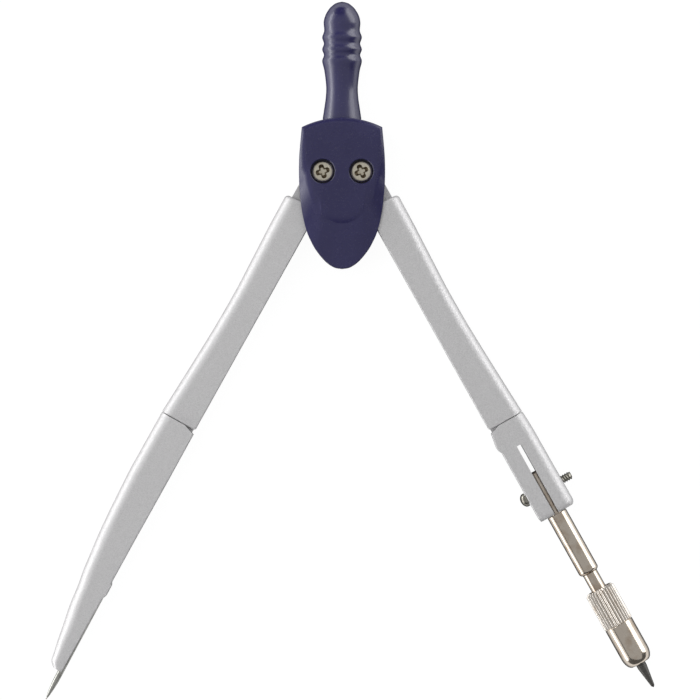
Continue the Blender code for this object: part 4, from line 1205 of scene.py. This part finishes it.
def handle():
    points = [(HANDLE_RADIUS * wide, HANDLE_SEAT + HANDLE_LENGTH * along) for along, wide in HANDLE_SHARES]
    outer = [(max(radius, 0.0), height) for radius, height in smooth_curve(points, HANDLE_STEPS)]
    hole = STUD_DIAMETER / 2 + RUNNING_FIT
    floor = HANDLE_SEAT + HANDLE_SKIRT_DEPTH
    top = floor + STUD_LENGTH + SEAT
    skirt = outer[0][0] - HANDLE_SKIRT_WALL
    profile = [(0.0, top), (hole, top), (hole, floor), (skirt, floor), (skirt, HANDLE_SEAT - HANDLE_LIP)]
    profile.append((outer[0][0], HANDLE_SEAT - HANDLE_LIP))
    knob = shape("turned_handle", turned(profile + outer, HANDLE_SEGMENTS), ALONG_HANDLE)
    stand_for(settle(knob, POLISHED_NAVY), "handle")


handle()

# The lower legs: silver castings with a round tongue in the knee's slot. The needle leg tapers and sweeps
# in to its point. The pencil leg is a socket, split so that its screw can close it on the lead holder.

KNEE_BEND = math.radians(22.0)
LOWER_THICKNESS = 6.2 * MM
LOWER_OUTER = 4.75 * MM
LOWER_INNER = 3.25 * MM
NEEDLE_LEG_LENGTH = 55.4 * MM
PENCIL_LEG_LENGTH = 21.2 * MM
CLAMP_SIDE_SHARE = 0.89
TONGUE_EDGE_INSET = 0.3 * MM
LOWER_LEG_STEPS = 6
# Down each lower leg: shares of its length, of LOWER_OUTER, of LOWER_INNER and of its thickness
NEEDLE_LEG_SHARES = (
    (0.0, 0.985, 0.93, 1.0),
    (0.222, 0.985, 0.955, 1.0),
    (0.312, 0.945, 0.96, 1.0),
    (0.403, 0.89, 0.96, 1.0),
    (0.493, 0.815, 0.965, 1.0),
    (0.584, 0.7, 0.975, 1.0),
    (0.628, 0.645, 0.98, 1.0),
    (0.642, 0.625, 1.075, 1.0),
    (0.68, 0.545, 1.085, 0.99),
    (0.697, 0.515, 0.985, 0.985),
    (0.765, 0.425, 0.965, 0.965),
    (0.855, 0.235, 0.975, 0.92),
    (0.91, 0.12, 0.98, 0.89),
    (0.946, 0.03, 0.985, 0.87),
    (0.982, -0.06, 0.99, 0.83),
    (1.0, -0.27, 0.98, 0.76),
)
PENCIL_LEG_SHARES = (
    (0.0, 1.0, 0.85, 1.0),
    (0.1, 1.03, 0.95, 1.0),
    (0.19, 1.045, 1.03, 1.0),
    (0.225, 1.05, 0.99, 1.0),
    (0.25, 1.05, CLAMP_SIDE_SHARE, 1.0),
    (0.95, 1.065, CLAMP_SIDE_SHARE, 1.0),
    (0.985, 1.02, 0.88, 0.97),
    (1.0, 0.94, 0.85, 0.92),
)
POINT_OFFSET = 0.7 * MM
NEEDLE_DIAMETER = 1.2 * MM
NEEDLE_STANDOUT = 6.5 * MM
NEEDLE_LENGTH = 31.0 * MM
NEEDLE_TIP_INWARD = 3.12 * MM
NEEDLE_SLANT = math.radians(1.1)
SET_SCREW_ABOVE_END = 18.7 * MM
SET_SCREW_INWARD = 2.35 * MM
SET_SCREW_DIAMETER = 1.4 * MM
HOLDER_OUTWARD = 0.8 * MM
SLIT_WIDTH = 0.95 * MM
SLIT_LENGTH = 15.6 * MM
SHANK_DIAMETER = 2.4 * MM
SHANK_LENGTH = 9.6 * MM
BORE_FIT = 0.1 * MM
CLAMP_ABOVE_END = 5.2 * MM
CLAMP_DIAMETER = 1.7 * MM
CLAMP_BEHIND = 1.6 * MM
NEEDLE_LEG_END = KNEE_DEPTH + NEEDLE_LEG_LENGTH
SOCKET_END = KNEE_DEPTH + PENCIL_LEG_LENGTH


def tongue_outline():
    """A disc about the knee's pin, cut straight at the leg's inner edge."""
    straight = TONGUE_EDGE_INSET - KNEE_PIN_FROM_EDGE
    disc = [Vector((max(x, straight), y)) for x, y in circle(TONGUE_RADIUS)]
    following = disc[1:] + disc[:1]
    return [here for i, here in enumerate(disc) if max(disc[i - 1].x, here.x, following[i].x) > straight]


def lower_leg(side, shares, length):
    """A lower leg with its tongue, and the relief above it that lets it bend inwards."""
    tag = SIDE_NAMES[side]
    knee = knee_matrix(side)
    top = KNEE_DEPTH + KNEE_GAP
    rings = []
    for along, out, inward, thick in in_between(shares, LOWER_LEG_STEPS):
        depth = top + (length - KNEE_GAP) * along
        rings.append(leg_ring(depth, LOWER_OUTER * out, LOWER_INNER * inward, LOWER_THICKNESS * thick))
    body = shape(f"painted_lower_leg_{tag}", loft(rings), leg_matrix(side))
    wide = LOWER_OUTER + LOWER_INNER + OVERRUN
    deep = LOWER_THICKNESS / 2 + OVERRUN
    relief = box((-wide, -KNEE_PIN_ABOVE_SEAM - KNEE_GAP, -deep), (wide, wide, deep))
    cut(body, shape(f"knee_relief_{tag}", relief, knee @ Matrix.Rotation(KNEE_BEND, 4, "Z")))
    tongue = prism(tongue_outline(), -TONGUE_THICKNESS / 2, TONGUE_THICKNESS / 2)
    join(body, shape(f"tongue_{tag}", tongue, knee))
    cut(body, shape(f"tongue_hole_{tag}", rod(KNEE_PIN_DIAMETER / 2 + RUNNING_FIT, -deep, deep), knee))
    return body


def lengthways(side, x, depth, z, up=(0.0, 1.0)):
    """A frame whose Z runs up the leg from a point of it."""
    flow = Matrix((
        (up[1], 0.0, up[0], x),
        (-up[0], 0.0, up[1], -depth),
        (0.0, -1.0, 0.0, z),
        (0.0, 0.0, 0.0, 1.0),
    ))
    return leg_matrix(side) @ flow


NEEDLE_PLACE = lengthways(
    -1,
    -NEEDLE_TIP_INWARD,
    NEEDLE_LEG_END + NEEDLE_STANDOUT,
    POINT_OFFSET,
    (math.sin(NEEDLE_SLANT), math.cos(NEEDLE_SLANT)),
)
SET_SCREW_PLACE = leg_matrix(-1) @ Matrix.Translation(
    (-SET_SCREW_INWARD, SET_SCREW_ABOVE_END - NEEDLE_LEG_END, -LOWER_THICKNESS / 2)
)


def needle_leg():
    leg = lower_leg(-1, NEEDLE_LEG_SHARES, NEEDLE_LEG_LENGTH)
    bore = rod(NEEDLE_DIAMETER / 2 + RUNNING_FIT, -OVERRUN, NEEDLE_LENGTH + SEAT)
    hole = rod(SET_SCREW_DIAMETER / 2 + RUNNING_FIT, -OVERRUN, LOWER_THICKNESS / 2 + POINT_OFFSET)
    cut(leg, shape("needle_bore", bore, NEEDLE_PLACE), shape("set_screw_hole", hole, SET_SCREW_PLACE))
    stand_for(settle(leg, SILVER_PAINT), "lower_leg_left")


def across_socket(x):
    """A frame on the clamp screw's axis, whose Z runs outwards from that x."""
    place = Matrix.Translation((x, CLAMP_ABOVE_END - SOCKET_END, -CLAMP_BEHIND))
    return leg_matrix(1) @ place @ Matrix.Rotation(QUARTER_TURN, 4, "Y")


def pencil_leg():
    leg = lower_leg(1, PENCIL_LEG_SHARES, PENCIL_LEG_LENGTH)
    bore = rod(SHANK_DIAMETER / 2 + BORE_FIT, -OVERRUN, SHANK_LENGTH - SEAT + BORE_FIT)
    slit = box(
        (HOLDER_OUTWARD - SLIT_WIDTH / 2, -SOCKET_END - OVERRUN, -LOWER_THICKNESS),
        (HOLDER_OUTWARD + SLIT_WIDTH / 2, SLIT_LENGTH - SOCKET_END, LOWER_THICKNESS),
    )
    wide = LOWER_OUTER + LOWER_INNER
    hole = rod(CLAMP_DIAMETER / 2 + RUNNING_FIT, -wide, wide)
    cut(
        leg,
        shape("shank_bore", bore, lengthways(1, HOLDER_OUTWARD, SOCKET_END, POINT_OFFSET)),
        shape("socket_slit", slit, leg_matrix(1)),
        shape("clamp_hole", hole, across_socket(0.0)),
    )
    stand_for(settle(leg, SILVER_PAINT), "lower_leg_right")


needle_leg()
pencil_leg()

# The knee pins: plain pins of plated steel, driven in from the back through the fork and the tongue, which
# stop short of the painted front.


def knee_pin(side):
    tag = SIDE_NAMES[side]
    radius = KNEE_PIN_DIAMETER / 2
    bottom = -LEG_THICKNESS / 2 + RUNNING_FIT
    top = LEG_THICKNESS / 2 - KNEE_PIN_FRONT_WALL
    ease = 2 * RUNNING_FIT
    profile = ((0.0, bottom), (radius - ease, bottom), (radius, bottom + ease), (radius, top), (0.0, top))
    pin = shape(f"driven_knee_pin_{tag}", turned(profile), knee_matrix(side))
    stand_for(settle(pin, ZINC_PLATE), f"knee_pin_{tag}")


for side in (-1, 1):
    knee_pin(side)

# The needle: hard steel, ground to a long point. It lies in a groove along the inner edge of its leg, and
# stands out below it.

NEEDLE_POINT_LENGTH = 5.0 * MM
NEEDLE_POINT_STEPS = 4
NEEDLE_POINT_SHARES = ((0.0, 0.0), (0.06, 0.2), (0.25, 0.5), (0.5, 0.76), (0.8, 0.95), (1.0, 1.0))
GROUND_STEEL = (0.5, 0.5, 0.47)
GROUND_STAIN = (0.3, 0.3, 0.27)
GRINDING_DEPTH = 0.02 * MM
NEEDLE_STEEL = plated("ground_steel", GROUND_STEEL, GROUND_STAIN, roughness=0.3, depth=GRINDING_DEPTH)


def needle():
    radius = NEEDLE_DIAMETER / 2
    point = [(radius * wide, NEEDLE_POINT_LENGTH * along) for along, wide in NEEDLE_POINT_SHARES]
    profile = [(max(wide, 0.0), height) for wide, height in smooth_curve(point, NEEDLE_POINT_STEPS)]
    profile += [(radius, NEEDLE_LENGTH - RUNNING_FIT), (radius - RUNNING_FIT, NEEDLE_LENGTH)]
    profile.append((0.0, NEEDLE_LENGTH))
    pin = shape("ground_needle", turned(profile), NEEDLE_PLACE)
    stand_for(settle(pin, NEEDLE_STEEL), "needle")


needle()

# The set screw: a small slotted screw of plated steel without a head, which presses on the needle from the
# back of the leg.

SET_SCREW_RECESS = 0.15 * MM
SET_SCREW_SLOT_WIDTH = 0.35 * MM
SET_SCREW_SLOT_DEPTH = 0.5 * MM


def set_screw():
    radius = SET_SCREW_DIAMETER / 2
    low = SET_SCREW_RECESS
    top = LOWER_THICKNESS / 2 + POINT_OFFSET - NEEDLE_DIAMETER / 2 - SEAT
    ease = 2 * RUNNING_FIT
    profile = (
        (0.0, low),
        (radius - ease, low),
        (radius, low + ease),
        (radius, top - ease),
        (radius - ease, top),
        (0.0, top),
    )
    screw = shape("slotted_set_screw", turned(profile), SET_SCREW_PLACE)
    half = SET_SCREW_SLOT_WIDTH / 2
    slot = box((-radius - OVERRUN, -half, -OVERRUN), (radius + OVERRUN, half, low + SET_SCREW_SLOT_DEPTH))
    cut(screw, shape("set_screw_slot", slot, SET_SCREW_PLACE))
    stand_for(settle(screw, ZINC_PLATE), "needle_set_screw")


set_screw()

# The clamp screw: turned brass with a dull nickel plate, a slotted round head at the inner side of the
# socket and a fine thread that comes out at its outer side.

CLAMP_HEAD_DIAMETER = 2.8 * MM
CLAMP_HEAD_HEIGHT = 1.35 * MM
CLAMP_CROWN_SHARE = 0.75
CLAMP_HEAD_STANDOFF = 0.105 * MM
CLAMP_END_OUTWARD = 7.2 * MM
CLAMP_SEGMENTS = 48
CLAMP_SLOT_WIDTH = 0.5 * MM
CLAMP_SLOT_DEPTH = 0.6 * MM
CLAMP_THREAD_PITCH = 0.5 * MM
CLAMP_THREAD_DEPTH = 0.2 * MM
CLAMP_HIDDEN_TURNS = 4
THREAD_STEPS = 8
DULL_NICKEL = (0.4, 0.385, 0.34)
DULL_STAIN = (0.17, 0.16, 0.14)
DULL_NICKEL_PLATE = plated("dull_nickel_plate", DULL_NICKEL, DULL_STAIN, roughness=0.26)


def clamp_screw():
    head = CLAMP_HEAD_DIAMETER / 2
    shaft = CLAMP_DIAMETER / 2
    under_head = -CLAMP_SIDE_SHARE * LOWER_INNER - CLAMP_HEAD_STANDOFF
    length = CLAMP_END_OUTWARD - under_head
    crown = CLAMP_CROWN_SHARE * CLAMP_HEAD_HEIGHT
    profile = []
    for cosine, sine in quarter(DOME_STEPS):
        profile.append((head * sine, -CLAMP_HEAD_HEIGHT + crown * (1 - cosine)))
    profile += [(head, -RUNNING_FIT), (head - RUNNING_FIT, 0.0), (shaft, 0.0)]
    thread_start = LOWER_OUTER - under_head - CLAMP_HIDDEN_TURNS * CLAMP_THREAD_PITCH
    turns = (length - thread_start) / CLAMP_THREAD_PITCH
    rings = round(turns * THREAD_STEPS)
    for ring in range(rings + 1):
        height = thread_start + (length - thread_start) * ring / rings
        taper = max(0.0, height - length + CLAMP_THREAD_PITCH / 2)
        profile.append((shaft - taper, height))
    profile.append((0.0, length))

    def thread(radius, height, angle):
        if height < thread_start or radius > shaft:
            return radius
        phase = (height / CLAMP_THREAD_PITCH - angle / math.tau) % 1.0
        return radius - CLAMP_THREAD_DEPTH * (1 - math.cos(math.tau * phase)) / 2

    place = across_socket(under_head)
    screw = shape("plated_clamp_screw", turned(profile, CLAMP_SEGMENTS, thread), place)
    low = -CLAMP_HEAD_HEIGHT - OVERRUN
    half = CLAMP_SLOT_WIDTH / 2
    slot = box((-head - OVERRUN, -half, low), (head + OVERRUN, half, CLAMP_SLOT_DEPTH - CLAMP_HEAD_HEIGHT))
    cut(screw, shape("clamp_slot", slot, place @ Matrix.Rotation(QUARTER_TURN, 4, "Z")))
    stand_for(settle(screw, DULL_NICKEL_PLATE), "clamp_screw")


clamp_screw()

# The lead holder: a stem of turned brass with a polished nickel plate. It has a thinner shank in the split
# socket, a neck behind the nut, and a thread on which the nut turns.

SHANK_CHAMFER = 0.4 * MM
STEM_DIAMETER = 4.2 * MM
STEM_LENGTH = 13.6 * MM
STEM_TOP_ROUND = 0.15 * MM
STEM_ROUND = 0.7 * MM
NECK_DIAMETER = 3.1 * MM
NECK_LENGTH = 3.7 * MM
NECK_FILLET = 0.1 * MM
KNURL_LENGTH = 8.1 * MM
NOSE_LENGTH = 9.0 * MM
NOSE_LIP = 0.45 * MM
NUT_THREAD_DIAMETER = 3.8 * MM
THREAD_FIT = 0.1 * MM
LEAD_DIAMETER = 2.0 * MM
LEAD_FIT = 0.06 * MM
LEAD_STANDOUT = 5.5 * MM
LEAD_LENGTH = 23.0 * MM
LEAD_BORE_SPARE = 6.0 * MM
COLLET_LENGTH = 7.8 * MM
# Depths down the pencil leg, from its pivot
BUTT = SOCKET_END + SEAT
STEM_END = BUTT + STEM_LENGTH
NUT_TOP = STEM_END + NECK_LENGTH
NOSE_END = NUT_TOP + KNURL_LENGTH + NOSE_LENGTH
LEAD_TIP = NOSE_END + LEAD_STANDOUT
LEAD_TOP = LEAD_TIP - LEAD_LENGTH
COLLET_END = NOSE_END - 2 * NOSE_LIP
COLLET_START = COLLET_END - COLLET_LENGTH
LEAD_BORE = LEAD_DIAMETER / 2 + LEAD_FIT
HOLDER_PLACE = lengthways(1, HOLDER_OUTWARD, 0.0, POINT_OFFSET)
NICKEL = (0.65, 0.58, 0.5)
NICKEL_STAIN = (0.5, 0.4, 0.31)
POLISHED_DEPTH = 0.006 * MM
NICKEL_PLATE = plated("nickel_plate", NICKEL, NICKEL_STAIN, roughness=0.14, depth=POLISHED_DEPTH)


def lead_holder():
    shank = SHANK_DIAMETER / 2
    stem = STEM_DIAMETER / 2
    neck = NECK_DIAMETER / 2
    spigot = NUT_THREAD_DIAMETER / 2 - THREAD_FIT
    shank_top = BUTT - SHANK_LENGTH
    corners = (
        (0.0, shank_top, 0.0),
        (shank - SHANK_CHAMFER, shank_top, 0.0),
        (shank, shank_top + SHANK_CHAMFER, 0.0),
        (shank, BUTT, 0.0),
        (stem, BUTT, STEM_TOP_ROUND),
        (stem, STEM_END, STEM_ROUND),
        (neck, STEM_END, NECK_FILLET),
        (neck, NUT_TOP + SEAT, 0.0),
        (spigot, NUT_TOP + SEAT, 0.0),
        (spigot, COLLET_START - SEAT, 0.0),
        (LEAD_BORE, COLLET_START - SEAT, 0.0),
        (LEAD_BORE, LEAD_TOP - LEAD_BORE_SPARE, 0.0),
        (0.0, LEAD_TOP - LEAD_BORE_SPARE, 0.0),
    )
    profile = [(radius, -depth) for radius, depth in rounded(corners)]
    body = shape("plated_lead_holder", turned(profile), HOLDER_PLACE)
    stand_for(settle(body, NICKEL_PLATE), "lead_holder_body")


lead_holder()

# The collet: a brass tube with slit jaws, in the end of the holder. The nut's cone presses the jaws onto
# the lead.

BRASS = (0.62, 0.46, 0.2)
BRASS_STAIN = (0.4, 0.28, 0.12)
dress("collet", plated("turned_brass", BRASS, BRASS_STAIN, roughness=0.28))

# The collet nut: turned brass with the same nickel plate, a straight knurl for the fingers, on which a
# lighter copy of the plate is a painted highlight of its glints, and a smooth rounded nose with the lead's hole.

KNURL_DIAMETER = 6.1 * MM
KNURL_RIDGES = 28
KNURL_RIDGE_STEPS = 8
KNURL_DEPTH = 0.3 * MM
KNURL_CHAMFER = 0.5 * MM
NOSE_DIAMETER = 6.0 * MM
NOSE_ROUND = 2.5 * MM
NOSE_ROUND_INSET = 1.3 * MM
NOSE_HOLE_FIT = 0.25 * MM
CHAMBER_DIAMETER = 4.2 * MM
COLLET_CONE_LENGTH = 1.8 * MM
# A lighter copy of the nickel plate: a painted highlight for the glints of the knurl's ridges
NICKEL_WITH_PAINTED_GLINTS = (0.74, 0.69, 0.63)
STAIN_WITH_PAINTED_GLINTS = (0.56, 0.48, 0.4)
KNURL_GLINT_PLATE = plated("nickel_with_painted_glints_on_the_knurl", NICKEL_WITH_PAINTED_GLINTS, STAIN_WITH_PAINTED_GLINTS, roughness=0.24, depth=POLISHED_DEPTH)


def knurled_nut():
    knurl = KNURL_DIAMETER / 2
    nose = NOSE_DIAMETER / 2
    thread = NUT_THREAD_DIAMETER / 2
    chamber = CHAMBER_DIAMETER / 2
    mouth = LEAD_BORE + NOSE_HOLE_FIT
    knurl_end = NUT_TOP + KNURL_LENGTH
    cone_start = COLLET_END - COLLET_CONE_LENGTH
    profile = [(thread, NUT_TOP), (knurl - KNURL_CHAMFER, NUT_TOP), (knurl, NUT_TOP + KNURL_CHAMFER)]
    profile += [(knurl, knurl_end - 2 * SEAT), (knurl - 2 * SEAT, knurl_end), (nose - SEAT, knurl_end)]
    profile.append((nose, knurl_end + SEAT))
    for cosine, sine in quarter(DOME_STEPS):
        profile.append((nose - NOSE_ROUND_INSET * (1 - cosine), NOSE_END - NOSE_ROUND * (1 - sine)))
    profile += [(mouth, NOSE_END), (mouth, COLLET_END + SEAT), (chamber, cone_start)]
    profile += [(chamber, COLLET_START - SEAT), (thread, COLLET_START - SEAT)]

    def ridges(radius, height, angle):
        if radius < knurl - KNURL_CHAMFER - MERGE or -height > knurl_end - SEAT or radius > knurl + MERGE:
            return radius
        return radius - KNURL_DEPTH * (1 - abs(math.cos(angle * KNURL_RIDGES / 2)))

    segments = KNURL_RIDGES * KNURL_RIDGE_STEPS
    rings = [(radius, -depth) for radius, depth in profile]
    nut = shape("knurled_collet_nut", turned(rings, segments, ridges, closed=True), HOLDER_PLACE)
    settle(nut, NICKEL_PLATE)
    # Painted highlight: the knurl's faces take the lighter copy of the plate
    nut.data.materials.append(KNURL_GLINT_PLATE)
    for face in nut.data.polygons:
        reach = math.hypot(face.center.x, face.center.y)
        if reach > chamber + SEAT and -knurl_end < face.center.z < -NUT_TOP:
            face.material_index = 1
    stand_for(nut, "collet_nut")


knurled_nut()

# The lead: a stick of hard graphite, gripped by the collet and sharpened to a blunt cone, with the fine
# strokes of the sharpener along it.

LEAD_POINT_LENGTH = 4.7 * MM
LEAD_TIP_SHARE = 0.36
GRAPHITE = (0.05, 0.048, 0.045)
GRAPHITE_WEAR = (0.6, 0.1)
GRAPHITE_TONE = 2.2
GRAPHITE_METAL_SHARE = 0.45
GRAPHITE_ROUGHNESS = (0.34, 0.5)
STROKE_SCALE = (9000.0, 9000.0, 900.0)
STROKE_STRENGTH = 0.5
STROKE_DEPTH = 0.02 * MM


def graphite():
    """Sharpened graphite, with a dull metallic sheen."""
    made, tree = empty_material("sharpened_graphite")
    place = object_place(tree)
    worn = marks(tree, place, GRAPHITE_WEAR)
    stretched = node(tree, "ShaderNodeMapping", {"Vector": place, "Scale": STROKE_SCALE})
    strokes = noise(tree, stretched.outputs[0], 1.0, detail=3.0)
    surface(tree, {
        "Base Color": blend_colours(tree, strokes, GRAPHITE, toned(GRAPHITE, GRAPHITE_TONE)),
        "Metallic": GRAPHITE_METAL_SHARE,
        "Roughness": ranged(tree, worn["Smears"], *GRAPHITE_ROUGHNESS),
        "Normal": bumps(tree, strokes, STROKE_STRENGTH, STROKE_DEPTH),
    })
    return made


def lead():
    radius = LEAD_DIAMETER / 2
    tip = LEAD_TIP_SHARE * radius
    corners = (
        (0.0, LEAD_TOP, 0.0),
        (radius, LEAD_TOP, RUNNING_FIT),
        (radius, LEAD_TIP - LEAD_POINT_LENGTH, 0.0),
        (tip, LEAD_TIP - tip, tip / 2),
        (0.0, LEAD_TIP, 0.0),
    )
    profile = [(wide, -depth) for wide, depth in rounded(corners)]
    stick = shape("sharpened_lead", turned(profile), HOLDER_PLACE)
    stand_for(settle(stick, graphite()), "lead")


lead()
